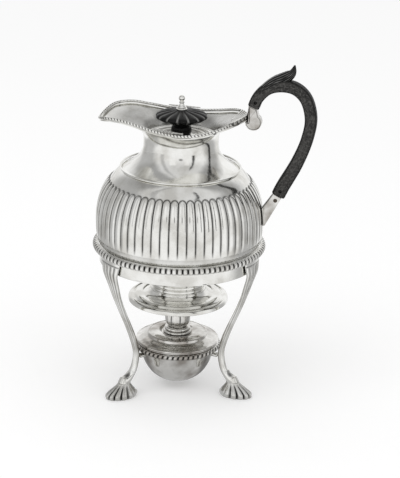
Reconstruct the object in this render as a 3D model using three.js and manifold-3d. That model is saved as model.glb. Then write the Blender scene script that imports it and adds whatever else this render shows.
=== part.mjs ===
// Silver hot-water jug with a hinged lid and a wooden handle, on a three-legged lampstand with a spirit burner.
// Millimetres, +Z up. The stand's feet are on z = 0, the handle points to +X and the spout to -X.
// Heights are counted from the table unless a comment says otherwise.

import * as THREE from 'three';
import { mergeVertices } from 'three/addons/utils/BufferGeometryUtils.js';
import Module from 'manifold-3d';

const wasm = await Module();
wasm.setup();

// Clearances and sheet
const GAP = 0.3; // between pieces that are soldered to or seated on each other
const RUNNING = 0.08; // round a pin that turns
const WALL = 1.0; // silver sheet of the jug
const THICK = 1.2; // heavier sheet of the stand and the foot

// Stand
const LEG_COUNT = 3;
const LEG_TURN = -16; // degrees from the handle's side to the first leg
const SEAT_GRIP = 1.8; // the border's bore is this much inside the jug's widest radius
const BAND_INSET = 1.4; // the band's outside is this much inside the border's bore
const BAND_HEIGHT = 11.5;
const BORDER_WIDTH = 4.6; // from its bore to its outside
const BORDER_HEIGHT = 6;
const BORDER_BASE = 131.3; // underside of the gadrooned border
const LEG_TOP_WIDTH = 30;
const LEG_THIN = 5.6; // thickness of a leg above its ankle
const LEG_WAIST_RADIUS = 43.6; // centre of the leg where it comes nearest to the burner
const LEG_WAIST_HEIGHT = 40;
const FOOT_RADIUS = 59; // centre of a shell foot
const FOOT_LENGTH = 30;
const FOOT_WIDTH = 20;
const FOOT_HEIGHT = 13;
const FOOT_RIBS = 9;

// Spirit burner
const RING_RADIUS = 38.6;
const RING_BORE = 33.6;
const RING_BASE = 36.6;
const RING_HEIGHT = 5.2;
const BRACKET_WIDTH = 6;
const BRACKET_HEIGHT = 2.4;
const BOWL_BASE = 4.5;
const COVER_RADIUS = 37;
const COVER_RISE = 8.1; // from the cover's edge to its flat top
const COVER_DIP = 0.9; // the middle of the top lies this much lower
const STEP_RADIUS = 26.6; // step in the cover
const COLLAR_RADIUS = 12.8;
const COLLAR_HEIGHT = 2.1;
const HOLDER_RADIUS = 11.5;
const HOLDER_HEIGHT = 2.6;
const HOLDER_PLUG = 7.6; // radius of the wick holder's plug in the collar
const TUBE_RADIUS = 4.8;
const TUBE_STAND = 9; // the wick tube above its holder
const WICK_RADIUS = 3.4;
const CAP_RADIUS = 11.3;
const CAP_HEIGHT = 19.5;
const CAP_LOBES = 12;

// Jug
const BELLY_RADIUS = 73.2;
const BELLY_ABOVE = 60; // half height of the belly's curve above its widest line
const BELLY_BELOW = 49; // and below it
const BELLY_POWER = 2.5; // squareness of that curve
const BASE_RADIUS = 27; // flat bottom of the jug
const LOBES = 60;
const LOBE_DEPTH = 1.2;
const LOBE_SHEET = 0.6; // sheet left under the grooves between the lobes
const LOBE_BELOW = 11; // lobed belt below and above the widest line
const LOBE_ABOVE = 39.3;
const SHOULDER_RISE = 48.8; // widest line to the foot of the neck
const NECK_RADIUS = 32.5;
const NECK_HEIGHT = 22.5; // foot of the neck to its narrowest line
const NECK_FOOT_RADIUS = 49.5;
const NECK_POWER = 2.25;
const NECK_WIRE = 1.1; // radius of the wire round the foot of the neck
const JUG_FOOT_HEIGHT = 24.8;
const JUG_FOOT_RADIUS = 44.2;
const SPOOL_RADIUS = 22.5;

// Mouth, with heights above the narrowest line of the neck
const SPOUT_REACH = 71;
const REAR_REACH = 57.5;
const MOUTH_HALF = 43; // half width of the mouth over the sides
const RIM_SPOUT_TIP = 18.5;
const RIM_SPOUT = 25.3;
const RIM_SIDE = 17.8;
const RIM_REAR = 27.2;
const RIM_BEAD = 1.6; // radius of the border on the rim
const SHELL_HALF_ANGLE = 27; // the rear shell takes this much of the rim each way, in degrees
const LEAF_TURN = 97; // middle of the leaf on the border, in degrees from the rear
const LEAF_HALF_ANGLE = 19;
const LEAF_WIDTH = 5.4;
const SHELL_LENGTH = 14;
const SHELL_RIBS = 9;

// Lid and finial
const LID_RISE = 6.2; // underside of the lid above the narrowest line of the neck
const LID_THICK = 1.4;
const BEARER_WIDTH = 2.7;
const BEARER_HEIGHT = 2.3;
const KNUCKLE_RADIUS = 1.8;
const HINGE_PIN_RADIUS = 0.9;
const HINGE_HALF = 7.5;
const LID_KNUCKLE_HALF = 3;
const FINIAL_RADIUS = 22.3;
const FINIAL_HEIGHT = 21.6;
const FINIAL_FLUTES = 14;
const STUD_RADIUS = 1.4;
const WASHER_RADIUS = 4.8;
const WASHER_HEIGHT = 1.2;
const NUT_HEIGHT = 10.7;

// Handle, in the upright plane through the spout
const HANDLE_THICK = 10; // across the plane
const HANDLE_WIDTH = 10.4; // in the plane, at the top
const HANDLE_LOW_WIDTH = 11.9;
const HANDLE_END_OUT = 4.4; // the wood's upper end outside the rear of the mouth
const HANDLE_END_RISE = 36; // and above the narrowest line of the neck
const HANDLE_REACH = 49; // from there out to the handle's outermost line
const HANDLE_RISE = 19.7; // and up to the centre of its top
const LOWER_END_OUT = 12.5; // the wood's lower end outside the belly's widest radius
const LOWER_END_RISE = 30.6; // and above its widest line
const THUMB_WIDTH = 9; // thumb leaf at its thickest
const LEAF_RISE = 38.1; // tip of the thumb leaf above the wood's upper end
const SOCKET_THICK = 9;
const SCROLL_RADIUS = 7; // flat-ended scroll under the upper socket
const SCROLL_THICK = 7.6;
const SCROLL_OUT = 4.8; // centre of the scroll outside the rear of the mouth
const SCROLL_RISE = 22.7; // and above the narrowest line of the neck
const ARM_FOOT = 15; // height of the lower socket's arm where it meets the belly
const TENON_THICK = 3;
const TENON_LENGTH = 12;
const PIN_RADIUS = 1.2;
const PIN_INSET = 4.6; // pins from the ends of the wood

const SILVER = { color: 0xc9c8c4, roughness: 0.18, metalness: 1 };
const EBONY = { color: 0x161514, roughness: 0.4, metalness: 0 };
const WOOD = { color: 0x2a2724, roughness: 0.65, metalness: 0 };
const COTTON = { color: 0xd8d0bc, roughness: 0.95, metalness: 0 };

const rad = THREE.MathUtils.degToRad;
const at = (x, y, z) => new THREE.Vector3(x, y, z);
const polar = (r, angle, z) => at(r * Math.cos(angle), r * Math.sin(angle), z);

// Radii and heights that follow from the sizes above
const seatRadius = BELLY_RADIUS - SEAT_GRIP;
const borderRadius = seatRadius + BORDER_WIDTH;
const bandRadius = seatRadius - BAND_INSET;
const seatZ = BORDER_BASE + BORDER_HEIGHT;
const bellyDrop = (r) => (1 - (r / BELLY_RADIUS) ** BELLY_POWER) ** (1 / BELLY_POWER);
const bellyZ = seatZ + BELLY_BELOW * bellyDrop(seatRadius - GAP);
const baseZ = bellyZ - BELLY_BELOW * bellyDrop(BASE_RADIUS);
const jugFootZ = baseZ - GAP - JUG_FOOT_HEIGHT;
const shoulderZ = bellyZ + SHOULDER_RISE;
const neckZ = shoulderZ + NECK_HEIGHT;
const lidZ = neckZ + LID_RISE;
const lidTopZ = lidZ + LID_THICK;
const ringTopZ = RING_BASE + RING_HEIGHT;
const coverZ = ringTopZ + GAP + WALL + GAP;
const coverTopZ = coverZ + COVER_RISE - COVER_DIP;
const collarZ = coverTopZ + GAP;
const holderZ = collarZ + COLLAR_HEIGHT + GAP;
const capZ = holderZ + HOLDER_HEIGHT + GAP;

// A closed body from any three.js geometry: shared corners merged, no empty triangles, faces pointing out
function closed(geometry) {
  const bare = geometry.index ? geometry.toNonIndexed() : geometry.clone();
  bare.deleteAttribute('normal');
  bare.deleteAttribute('uv');
  const merged = mergeVertices(bare, 1e-4);
  const index = merged.index.array;
  const p = merged.attributes.position;
  const corner = (i) => new THREE.Vector3().fromBufferAttribute(p, i);
  const kept = [];
  let volume = 0;
  for (let i = 0; i < index.length; i += 3) {
    const [a, b, c] = [index[i], index[i + 1], index[i + 2]];
    if (a === b || b === c || c === a) continue;
    kept.push(a, b, c);
    volume += corner(a).dot(corner(b).cross(corner(c)));
  }
  if (volume < 0) kept.reverse();
  merged.setIndex(kept);
  merged.computeVertexNormals();
  return merged;
}

function toManifold(geometry) {
  const body = closed(geometry);
  const vertProperties = new Float32Array(body.attributes.position.array);
  const triVerts = new Uint32Array(body.index.array);
  return new wasm.Manifold(new wasm.Mesh({ numProp: 3, vertProperties, triVerts }));
}

function fromManifold(solid) {
  const mesh = solid.getMesh();
  const geometry = new THREE.BufferGeometry();
  geometry.setAttribute('position', new THREE.BufferAttribute(new Float32Array(mesh.vertProperties), 3));
  geometry.setIndex(Array.from(mesh.triVerts));
  return geometry;
}

function cut(geometry, ...tools) {
  let solid = toManifold(geometry);
  for (const tool of tools) solid = solid.subtract(toManifold(tool));
  return fromManifold(solid);
}

function joined(first, ...others) {
  let solid = toManifold(first);
  for (const other of others) solid = solid.add(toManifold(other));
  return fromManifold(solid);
}

// A solid of revolution about the upright axis, from a profile of [radius, height]
function turned(profile, segments) {
  const points = profile.map(([r, z]) => new THREE.Vector2(r, z));
  const geometry = new THREE.LatheGeometry(points, segments);
  geometry.rotateX(Math.PI / 2);
  return geometry;
}

// The same, closed on itself as a ring
const turnedRing = (profile, segments) => turned([...profile, profile[0]], segments);

// A skin over rings of points. A ring may have as many points as the last one, twice as many or half as many.
function skin(rings, capFirst = true, capLast = true) {
  const position = [];
  const tri = (a, b, c) => position.push(a.x, a.y, a.z, b.x, b.y, b.z, c.x, c.y, c.z);
  const next = (ring, i) => ring[(i + 1) % ring.length];
  const step = (low, high) => {
    if (low.length === high.length) {
      low.forEach((a, i) => {
        tri(a, next(low, i), high[i]);
        tri(next(low, i), next(high, i), high[i]);
      });
      return;
    }
    const fineIsLow = low.length > high.length;
    const [fine, coarse] = fineIsLow ? [low, high] : [high, low];
    const put = fineIsLow ? tri : (a, b, c) => tri(b, a, c);
    coarse.forEach((c, i) => {
      const a = fine[2 * i];
      const middle = fine[2 * i + 1];
      const b = fine[(2 * i + 2) % fine.length];
      put(a, middle, c);
      put(middle, b, next(coarse, i));
      put(middle, next(coarse, i), c);
    });
  };
  for (let i = 1; i < rings.length; i += 1) step(rings[i - 1], rings[i]);
  const cap = (ring, put) => {
    const middle = ring.reduce((sum, p) => sum.add(p), at(0, 0, 0)).divideScalar(ring.length);
    ring.forEach((a, i) => put(a, next(ring, i), middle));
  };
  if (capFirst) cap(rings[0], (a, b, c) => tri(b, a, c));
  if (capLast) cap(rings[rings.length - 1], tri);
  const geometry = new THREE.BufferGeometry();
  geometry.setAttribute('position', new THREE.Float32BufferAttribute(position, 3));
  return geometry;
}

const around = (count, point) => Array.from({ length: count }, (_, i) => point((2 * Math.PI * i) / count));

const object = new THREE.Group();

function add(name, geometry, look = SILVER, parent = object) {
  const mesh = new THREE.Mesh(closed(geometry), new THREE.MeshStandardMaterial(look));
  mesh.name = name;
  parent.add(mesh);
  return mesh;
}

// Belly radius at a height
function bellyRadius(z) {
  const half = z > bellyZ ? BELLY_ABOVE : BELLY_BELOW;
  return BELLY_RADIUS * (1 - Math.abs((z - bellyZ) / half) ** BELLY_POWER) ** (1 / BELLY_POWER);
}

// Neck radius at a height between its foot and its narrowest line
function neckRadius(z) {
  const share = (neckZ - z) / NECK_HEIGHT;
  return NECK_RADIUS + (NECK_FOOT_RADIUS - NECK_RADIUS) * share ** NECK_POWER;
}

// The rim seen from above, one side from the spout's tip to the rear: x, y and height
function rimCurve() {
  const tip = neckZ + RIM_SPOUT_TIP;
  const spout = neckZ + RIM_SPOUT;
  const side = neckZ + RIM_SIDE;
  const rear = neckZ + RIM_REAR;
  const between = THREE.MathUtils.lerp;
  const half = [
    at(-0.985 * SPOUT_REACH, 0.21 * MOUTH_HALF, between(tip, spout, 0.22)),
    at(-0.89 * SPOUT_REACH, 0.58 * MOUTH_HALF, between(tip, spout, 0.84)),
    at(-0.7 * SPOUT_REACH, 0.73 * MOUTH_HALF, spout),
    at(-0.48 * SPOUT_REACH, 0.81 * MOUTH_HALF, between(side, spout, 0.69)),
    at(-0.2 * SPOUT_REACH, 0.92 * MOUTH_HALF, between(side, spout, 0.19)),
    at(0.14 * REAR_REACH, MOUTH_HALF, side),
    at(0.45 * REAR_REACH, 0.93 * MOUTH_HALF, between(side, rear, 0.21)),
    at(0.73 * REAR_REACH, 0.69 * MOUTH_HALF, between(side, rear, 0.66)),
    at(0.92 * REAR_REACH, 0.33 * MOUTH_HALF, between(side, rear, 0.93)),
  ];
  const mirrored = half.map((p) => at(p.x, -p.y, p.z)).reverse();
  const points = [at(-SPOUT_REACH, 0, tip), ...half, at(REAR_REACH, 0, rear), ...mirrored];
  return new THREE.CatmullRomCurve3(points, true, 'centripetal');
}

// Where the rim stands in a direction from the jug's axis: its radius and height
const rimSamples = rimCurve().getPoints(720).map((p) => ({ angle: Math.atan2(p.y, p.x), r: Math.hypot(p.x, p.y), z: p.z }));

function rimAt(angle) {
  const turn = Math.atan2(Math.sin(angle), Math.cos(angle));
  const apart = (s) => Math.abs(Math.atan2(Math.sin(s.angle - turn), Math.cos(s.angle - turn)));
  const near = [...rimSamples].sort((a, b) => apart(a) - apart(b)).slice(0, 2);
  const total = apart(near[0]) + apart(near[1]) || 1;
  const share = apart(near[0]) / total;
  return { r: THREE.MathUtils.lerp(near[0].r, near[1].r, share), z: THREE.MathUtils.lerp(near[0].z, near[1].z, share) };
}

// Outer surface of the mouth in one direction: share 0 is the narrowest line of the neck, 1 is under the rim's bead
function mouthPoint(angle, share) {
  const rim = rimAt(angle);
  const top = rim.z - RIM_BEAD - GAP - WALL;
  const power = 2.2 + 0.1 * (rim.r - MOUTH_HALF);
  return { r: NECK_RADIUS + (rim.r - NECK_RADIUS) * share ** Math.max(power, 1.2), z: neckZ + (top - neckZ) * share };
}

// Inner surface there, one wall further in
function mouthInside(angle, share) {
  const a = mouthPoint(angle, Math.max(share - 0.02, 0));
  const b = mouthPoint(angle, share + 0.02);
  const length = Math.hypot(b.r - a.r, b.z - a.z);
  const here = mouthPoint(angle, share);
  return { r: here.r - (WALL * (b.z - a.z)) / length, z: here.z + (WALL * (b.r - a.r)) / length };
}

const MOUTH_SHARES = [0.25, 0.5, 0.7, 0.86, 1];
const COARSE = 60;
const FINE = 2 * LOBES;

// The jug's outer rings from its flat bottom to under the rim, moved out by a margin
function jugOutside(margin, belt) {
  const rings = [];
  const lowest = Math.asin(bellyDrop(BASE_RADIUS) ** (BELLY_POWER / 2));
  const beltStart = Math.asin((LOBE_BELOW / BELLY_BELOW) ** (BELLY_POWER / 2));
  const plain = (r, z) => rings.push(around(COARSE, (angle) => polar(r + margin, angle, z)));
  for (let i = 0; i <= 4; i += 1) {
    const angle = THREE.MathUtils.lerp(lowest, beltStart, i / 4);
    const z = bellyZ - BELLY_BELOW * Math.sin(angle) ** (2 / BELLY_POWER);
    plain(bellyRadius(z), z - margin);
  }
  belt(rings, margin);
  const beltTop = bellyZ + LOBE_ABOVE;
  for (const share of [0, 0.5, 1]) {
    const z = THREE.MathUtils.lerp(beltTop, shoulderZ, share);
    plain(bellyRadius(z), z);
  }
  for (const share of [0.02, 0.25, 0.5, 0.75]) {
    const z = shoulderZ + NECK_HEIGHT * share;
    plain(neckRadius(z), z);
  }
  plain(NECK_RADIUS, neckZ);
  for (const share of MOUTH_SHARES) {
    rings.push(around(COARSE, (angle) => {
      const p = mouthPoint(angle, share);
      return polar(p.r + margin, angle, p.z);
    }));
  }
  return rings;
}

// The belt of upright lobes, and the plain belt that stands for it in the jug's envelope
const BELT_SHARES = [0.02, 0.08, 0.34, 0.62, 0.88, 0.97];

function lobedBelt(rings, margin) {
  for (const share of BELT_SHARES) {
    const z = bellyZ + THREE.MathUtils.lerp(-LOBE_BELOW, LOBE_ABOVE, share);
    const depth = LOBE_DEPTH * Math.min(1, share / 0.06, (1 - share) / 0.06);
    const r = bellyRadius(z) + margin;
    rings.push(around(FINE, (angle) => polar(r - depth * (1 - Math.abs(Math.cos((LOBES * angle) / 2))), angle, z)));
  }
}

function plainBelt(rings, margin) {
  for (const share of BELT_SHARES) {
    const z = bellyZ + THREE.MathUtils.lerp(-LOBE_BELOW, LOBE_ABOVE, share);
    rings.push(around(COARSE, (angle) => polar(bellyRadius(z) + margin, angle, z)));
  }
}

// The jug's inner rings from under the rim down to its flat bottom
function jugInside() {
  const rings = MOUTH_SHARES.slice(1).reverse().map((share) => around(COARSE, (angle) => {
    const p = mouthInside(angle, share);
    return polar(p.r, angle, p.z);
  }));
  const plain = (r, z) => rings.push(around(COARSE, (angle) => polar(r, angle, z)));
  plain(NECK_RADIUS - WALL, neckZ);
  for (const share of [0.6, 0.3, 0.02]) {
    const z = shoulderZ + NECK_HEIGHT * share;
    plain(neckRadius(z) - WALL, z - WALL * share);
  }
  const inset = (z) => (z > bellyZ - LOBE_BELOW && z < bellyZ + LOBE_ABOVE ? LOBE_DEPTH + LOBE_SHEET : WALL);
  for (const rise of [0.68, 0.48, 0.2]) {
    const z = bellyZ + BELLY_ABOVE * rise;
    plain(bellyRadius(z) - inset(z), z - WALL);
  }
  const lowest = Math.asin(bellyDrop(BASE_RADIUS) ** (BELLY_POWER / 2));
  for (const share of [0, 0.3, 0.6, 0.85, 1]) {
    const z = bellyZ - BELLY_BELOW * Math.sin(lowest * share) ** (2 / BELLY_POWER);
    plain(bellyRadius(z) - inset(z), z + WALL * share);
  }
  return rings;
}

function jugBody() {
  return skin([...jugOutside(0, lobedBelt), ...jugInside()]);
}

// The space that the jug takes up, filled, with a margin round it: what is fitted to the jug is cut with it
const jugEnvelope = (margin) => skin(jugOutside(margin, plainBelt));

// A bar that follows the rim from one direction to another; section(share, centre, out, up) gives its points
function alongRim(fromAngle, toAngle, stations, section) {
  return skin(Array.from({ length: stations + 1 }, (_, i) => {
    const share = i / stations;
    const angle = THREE.MathUtils.lerp(fromAngle, toAngle, share);
    const here = rimAt(angle);
    const before = rimAt(angle - 0.03);
    const after = rimAt(angle + 0.03);
    const along = polar(after.r, angle + 0.03, after.z).sub(polar(before.r, angle - 0.03, before.z)).normalize();
    const out = along.clone().cross(at(0, 0, 1)).normalize();
    const up = out.clone().cross(along).normalize();
    const centre = polar(here.r, angle, here.z);
    return section(share, centre, out, up);
  }));
}

// A bead along the rim, left open at the rear for the shell
function rimBorder() {
  const start = rad(SHELL_HALF_ANGLE);
  return alongRim(start, 2 * Math.PI - start, 72, (share, centre, out, up) => around(6, (turn) => centre.clone()
    .addScaledVector(out, RIM_BEAD * Math.cos(turn))
    .addScaledVector(up, RIM_BEAD * Math.sin(turn))));
}

// Height of the mouth's inner surface in a direction, at a radius inside the rim
function mouthFloor(angle, radius) {
  let share = 1;
  while (mouthInside(angle, share).r > radius) share -= 0.01;
  return mouthInside(angle, Math.min(share + 0.02, 1)).z;
}

// Fan shell on the rear of the rim: ribs spread over the mouth's edge from a narrow root inside it
function rearShell() {
  const steps = 2 * SHELL_RIBS;
  const across = Array.from({ length: steps + 1 }, (_, i) => -1 + (2 * i) / steps);
  const point = (out, a, lift) => {
    const angle = rad(SHELL_HALF_ANGLE - 1) * a * (0.4 + 0.6 * out);
    const rim = rimAt(angle);
    const crest = 0.5 + 0.5 * Math.cos(Math.PI * SHELL_RIBS * (a + 1));
    const edge = rim.r + 1.2 * Math.abs(a) - 0.1 - (out === 1 ? 0.7 * (1 - crest) : 0);
    const r = edge - SHELL_LENGTH * (1 - out);
    const top = lift * (1.4 + 2 * out ** 2 + 0.5 * out * crest);
    return polar(r, angle, mouthFloor(angle, r) + GAP + top);
  };
  return skin([0, 0.3, 0.6, 0.85, 1].map((out) => [
    ...across.map((a) => point(out, a, 1)),
    ...[...across].reverse().map((a) => point(out, a, 0)),
  ]));
}

// Leaf laid along the top of the border on each side of the mouth
function rimLeaf(side) {
  const middle = side * rad(LEAF_TURN);
  const reach = rad(LEAF_HALF_ANGLE);
  const across = [-1, -0.5, 0, 0.5, 1];
  return alongRim(middle - reach, middle + reach, 8, (share, centre, out, up) => {
    const swell = 0.25 + 0.75 * Math.sin(Math.PI * share);
    const point = (u, v) => centre.clone()
      .addScaledVector(out, (u * LEAF_WIDTH * swell) / 2)
      .addScaledVector(up, RIM_BEAD + GAP + v);
    const top = across.map((u) => point(u, 0.4 + (1 - u * u) * swell));
    const under = [1, 0, -1].map((u) => point(u, 0));
    return [...top, ...under];
  });
}

function neckWire() {
  const r = Math.max(bellyRadius(shoulderZ), NECK_FOOT_RADIUS + GAP) + NECK_WIRE;
  const z = shoulderZ + NECK_WIRE;
  return turnedRing(around(6, (turn) => [r + NECK_WIRE * Math.cos(turn), z + NECK_WIRE * Math.sin(turn)]), 48);
}

// Spool foot, hollow and open below, with a wide brim
function jugFoot() {
  const spool = SPOOL_RADIUS;
  const brim = JUG_FOOT_RADIUS;
  const tall = JUG_FOOT_HEIGHT;
  const flare = brim - spool;
  const outside = [
    [brim, 0], [brim, 0.12 * tall], [brim - 0.055 * flare, 0.16 * tall], [brim - 0.32 * flare, 0.18 * tall],
    [spool + 0.34 * flare, 0.22 * tall], [spool + 0.14 * flare, 0.3 * tall], [spool + 0.03 * flare, 0.41 * tall],
    [spool, 0.56 * tall], [spool, 0.84 * tall], [spool + 0.07 * flare, 0.94 * tall], [BASE_RADIUS, tall],
  ];
  const inside = [
    [spool + 0.02 * flare, tall], [spool - THICK, 0.84 * tall], [spool - THICK, 0.53 * tall],
    [spool + 0.09 * flare, 0.25 * tall], [spool + 0.32 * flare, 0.17 * tall], [brim - THICK, 0.117 * tall], [brim - THICK, 0],
  ];
  return turnedRing([...outside, ...inside].map(([r, z]) => [r, z + jugFootZ]), 36);
}

// Lid and what is on it
const lidRadius = NECK_RADIUS - WALL - 0.5;
const hingeX = lidRadius - KNUCKLE_RADIUS + 0.2;
const hingeZ = lidTopZ + GAP + KNUCKLE_RADIUS;
const finialZ = lidTopZ + GAP;
const washerZ = finialZ + FINIAL_HEIGHT + GAP;
const nutZ = washerZ + WASHER_HEIGHT + GAP;

function lidPlate() {
  const hole = STUD_RADIUS + GAP;
  return turnedRing([
    [hole, lidZ], [lidRadius - 1.5, lidZ], [lidRadius, lidZ + 0.4], [lidRadius, lidTopZ], [lidRadius - 3, lidTopZ],
    [lidRadius - 4, lidTopZ - 0.4], [12, lidTopZ - 0.4], [10, lidTopZ], [hole, lidTopZ],
  ], 36);
}

function lidBearer() {
  const outer = NECK_RADIUS - WALL - GAP;
  const top = lidZ - GAP;
  return turnedRing([
    [outer - BEARER_WIDTH, top - 0.8], [outer, top - BEARER_HEIGHT], [outer, top], [outer - BEARER_WIDTH, top],
  ], 36);
}

// A rod or a bore along Y
function rodY(radius, from, to, x, z, segments = 16) {
  const rod = new THREE.CylinderGeometry(radius, radius, to - from, segments);
  rod.translate(x, (from + to) / 2, z);
  return rod;
}

function knuckle(from, to) {
  const bore = rodY(HINGE_PIN_RADIUS + RUNNING, from - 1, to + 1, hingeX, hingeZ);
  return cut(rodY(KNUCKLE_RADIUS, from, to, hingeX, hingeZ), bore);
}

function finial() {
  const bore = STUD_RADIUS + GAP;
  const profile = [
    [0.36, 0], [0.395, 0.11], [0.385, 0.26], [0.315, 0.4], [0.295, 0.47], [0.4, 0.53], [0.68, 0.54], [0.9, 0.61],
    [1, 0.71], [0.955, 0.805], [0.7, 0.91], [0.36, 0.97], [0.215, 1],
  ].map(([u, v]) => [u * FINIAL_RADIUS, v * FINIAL_HEIGHT]);
  const rings = [[bore, 0], ...profile, [bore, FINIAL_HEIGHT]];
  const body = turnedRing(rings.map(([r, z]) => [r, z + finialZ]), 2 * FINIAL_FLUTES);
  const p = body.attributes.position;
  for (let i = 0; i < p.count; i += 1) {
    const r = Math.hypot(p.getX(i), p.getY(i));
    const high = p.getZ(i) > finialZ + 0.56 * FINIAL_HEIGHT;
    const groove = high && r > 0.4 * FINIAL_RADIUS ? 0.035 * (0.5 - 0.5 * Math.cos(FINIAL_FLUTES * Math.atan2(p.getY(i), p.getX(i)))) : 0;
    p.setX(i, p.getX(i) * (1 - groove));
    p.setY(i, p.getY(i) * (1 - groove));
  }
  return body;
}

function finialStud() {
  const foot = lidZ - GAP;
  return turned([
    [0, foot - 1], [4, foot - 1], [4, foot], [STUD_RADIUS, foot], [STUD_RADIUS, nutZ + 4], [0, nutZ + 4],
  ], 16);
}

function finialWasher() {
  const bore = STUD_RADIUS + GAP;
  return turnedRing([
    [bore, washerZ], [WASHER_RADIUS, washerZ], [WASHER_RADIUS, washerZ + WASHER_HEIGHT], [bore, washerZ + WASHER_HEIGHT],
  ], 24);
}

function finialNut() {
  const bore = STUD_RADIUS + GAP;
  const ball = NUT_HEIGHT - 2.7;
  const profile = [
    [0, 4.6], [bore, 4.6], [bore, 0], [4, 0], [3.4, 0.9], [2.3, 2.2], [1.9, 3.6], [2.1, 4.2], [2.2, 4.9], [1.6, 5.6],
    [2.3, ball - 1.3], [2.75, ball], [2.3, ball + 1.5], [1.2, NUT_HEIGHT - 0.3], [0, NUT_HEIGHT],
  ];
  return turned(profile.map(([r, z]) => [r, z + nutZ]), 14);
}

// Handle: centre line in the plane y = 0, upper end first. Its upper bend is drawn in shares of the reach and the
// rise from the upper end, its lower part in shares of the way from the lower end to the outermost point.
const upperEnd = at(REAR_REACH + HANDLE_END_OUT, 0, neckZ + HANDLE_END_RISE);
const lowerEnd = at(BELLY_RADIUS + LOWER_END_OUT, 0, bellyZ + LOWER_END_RISE);

function handleLine() {
  const bend = [[0, 0], [0.07, 0.41], [0.245, 0.85], [0.49, 1], [0.722, 0.893], [0.9, 0.487], [1, -0.35]];
  const upper = bend.map(([u, v]) => at(upperEnd.x + u * HANDLE_REACH, 0, upperEnd.z + v * HANDLE_RISE));
  const outward = upperEnd.x + HANDLE_REACH - lowerEnd.x;
  const upward = upperEnd.z - lowerEnd.z;
  const lower = [[0.913, 0.68], [0.607, 0.397], [0.151, 0.106], [0, 0]]
    .map(([u, v]) => at(lowerEnd.x + u * outward, 0, lowerEnd.z + v * upward));
  return new THREE.CatmullRomCurve3([...upper, ...lower], false, 'centripetal');
}

// An eight-sided section across a line in the plane y = 0
function barSection(centre, along, width, thick) {
  const across = at(along.z, 0, -along.x);
  const bevel = 0.72;
  const corners = [[1, bevel], [bevel, 1], [-bevel, 1], [-1, bevel], [-1, -bevel], [-bevel, -1], [bevel, -1], [1, -bevel]];
  return corners.map(([u, v]) => centre.clone().addScaledVector(across, (u * width) / 2).add(at(0, (v * thick) / 2, 0)));
}

function handleBar() {
  const line = handleLine();
  const steps = 22;
  return skin(Array.from({ length: steps + 1 }, (_, i) => {
    const share = i / steps;
    const low = THREE.MathUtils.smoothstep(share, 0.5, 1);
    const width = THREE.MathUtils.lerp(HANDLE_WIDTH, HANDLE_LOW_WIDTH, low);
    return barSection(line.getPointAt(share), line.getTangentAt(share), width, HANDLE_THICK);
  }));
}

// Leaf for the thumb, carved from the same wood on top of the bend
function thumbLeaf() {
  const spine = [[0.143, 0.42], [0.327, 0.593], [0.52, 0.703], [0.643, 0.814], [0.686, 1]];
  const points = spine.map(([u, v]) => at(upperEnd.x + u * HANDLE_REACH, 0, upperEnd.z + v * LEAF_RISE));
  const line = new THREE.CatmullRomCurve3(points, false, 'centripetal');
  const sizes = [[0.44, 0.6], [0.72, 0.9], [0.94, 0.94], [1, 0.86], [0.82, 0.66], [0.49, 0.4], [0.09, 0.12]];
  return skin(sizes.map(([u, v], i) => {
    const share = i / (sizes.length - 1);
    return barSection(line.getPointAt(share), line.getTangentAt(share), u * THUMB_WIDTH, v * HANDLE_THICK);
  }));
}

const upperAlong = handleLine().getTangentAt(0);
const lowerAlong = handleLine().getTangentAt(1);
const pinPoint = (end, along, inset) => end.clone().addScaledVector(along, inset);
const upperPin = pinPoint(upperEnd, upperAlong, PIN_INSET);
const lowerPin = pinPoint(lowerEnd, lowerAlong, -PIN_INSET);
const rivetPoint = pinPoint(lowerEnd, lowerAlong, PIN_INSET);

// A flat bar in the plane y = 0 from one point to another
function flatBar(from, to, width, thick) {
  const length = from.distanceTo(to);
  const bar = new THREE.BoxGeometry(length, thick, width);
  const along = to.clone().sub(from);
  bar.rotateY(-Math.atan2(along.z, along.x));
  const middle = from.clone().add(to).multiplyScalar(0.5);
  bar.translate(middle.x, middle.y, middle.z);
  return bar;
}

const TENON_WIDTH = 0.55 * HANDLE_WIDTH;
const tenonTip = (end, into) => end.clone().addScaledVector(into, TENON_LENGTH);

function handleWood() {
  const slot = (end, into) => flatBar(
    end.clone().addScaledVector(into, -2),
    tenonTip(end, into).addScaledVector(into, GAP),
    TENON_WIDTH + 2 * GAP,
    TENON_THICK + 2 * GAP,
  );
  const bore = (p) => rodY(PIN_RADIUS + GAP, -HANDLE_THICK, HANDLE_THICK, p.x, p.z, 12);
  return cut(
    joined(handleBar(), thumbLeaf()),
    slot(upperEnd, upperAlong),
    slot(lowerEnd, lowerAlong.clone().negate()),
    bore(upperPin),
    bore(lowerPin),
  );
}

// Outline in the plane y = 0, made solid across it
function plateXZ(shape, thick, curveSegments = 10) {
  const plate = new THREE.ExtrudeGeometry(shape, { depth: thick, bevelEnabled: false, curveSegments });
  plate.translate(0, 0, -thick / 2);
  plate.rotateX(Math.PI / 2);
  return plate;
}

// Upper socket: a square sleeve from the wood down to a scroll with flat ends behind the shell
const scrollCentre = { x: REAR_REACH + SCROLL_OUT, z: neckZ + SCROLL_RISE };

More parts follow.
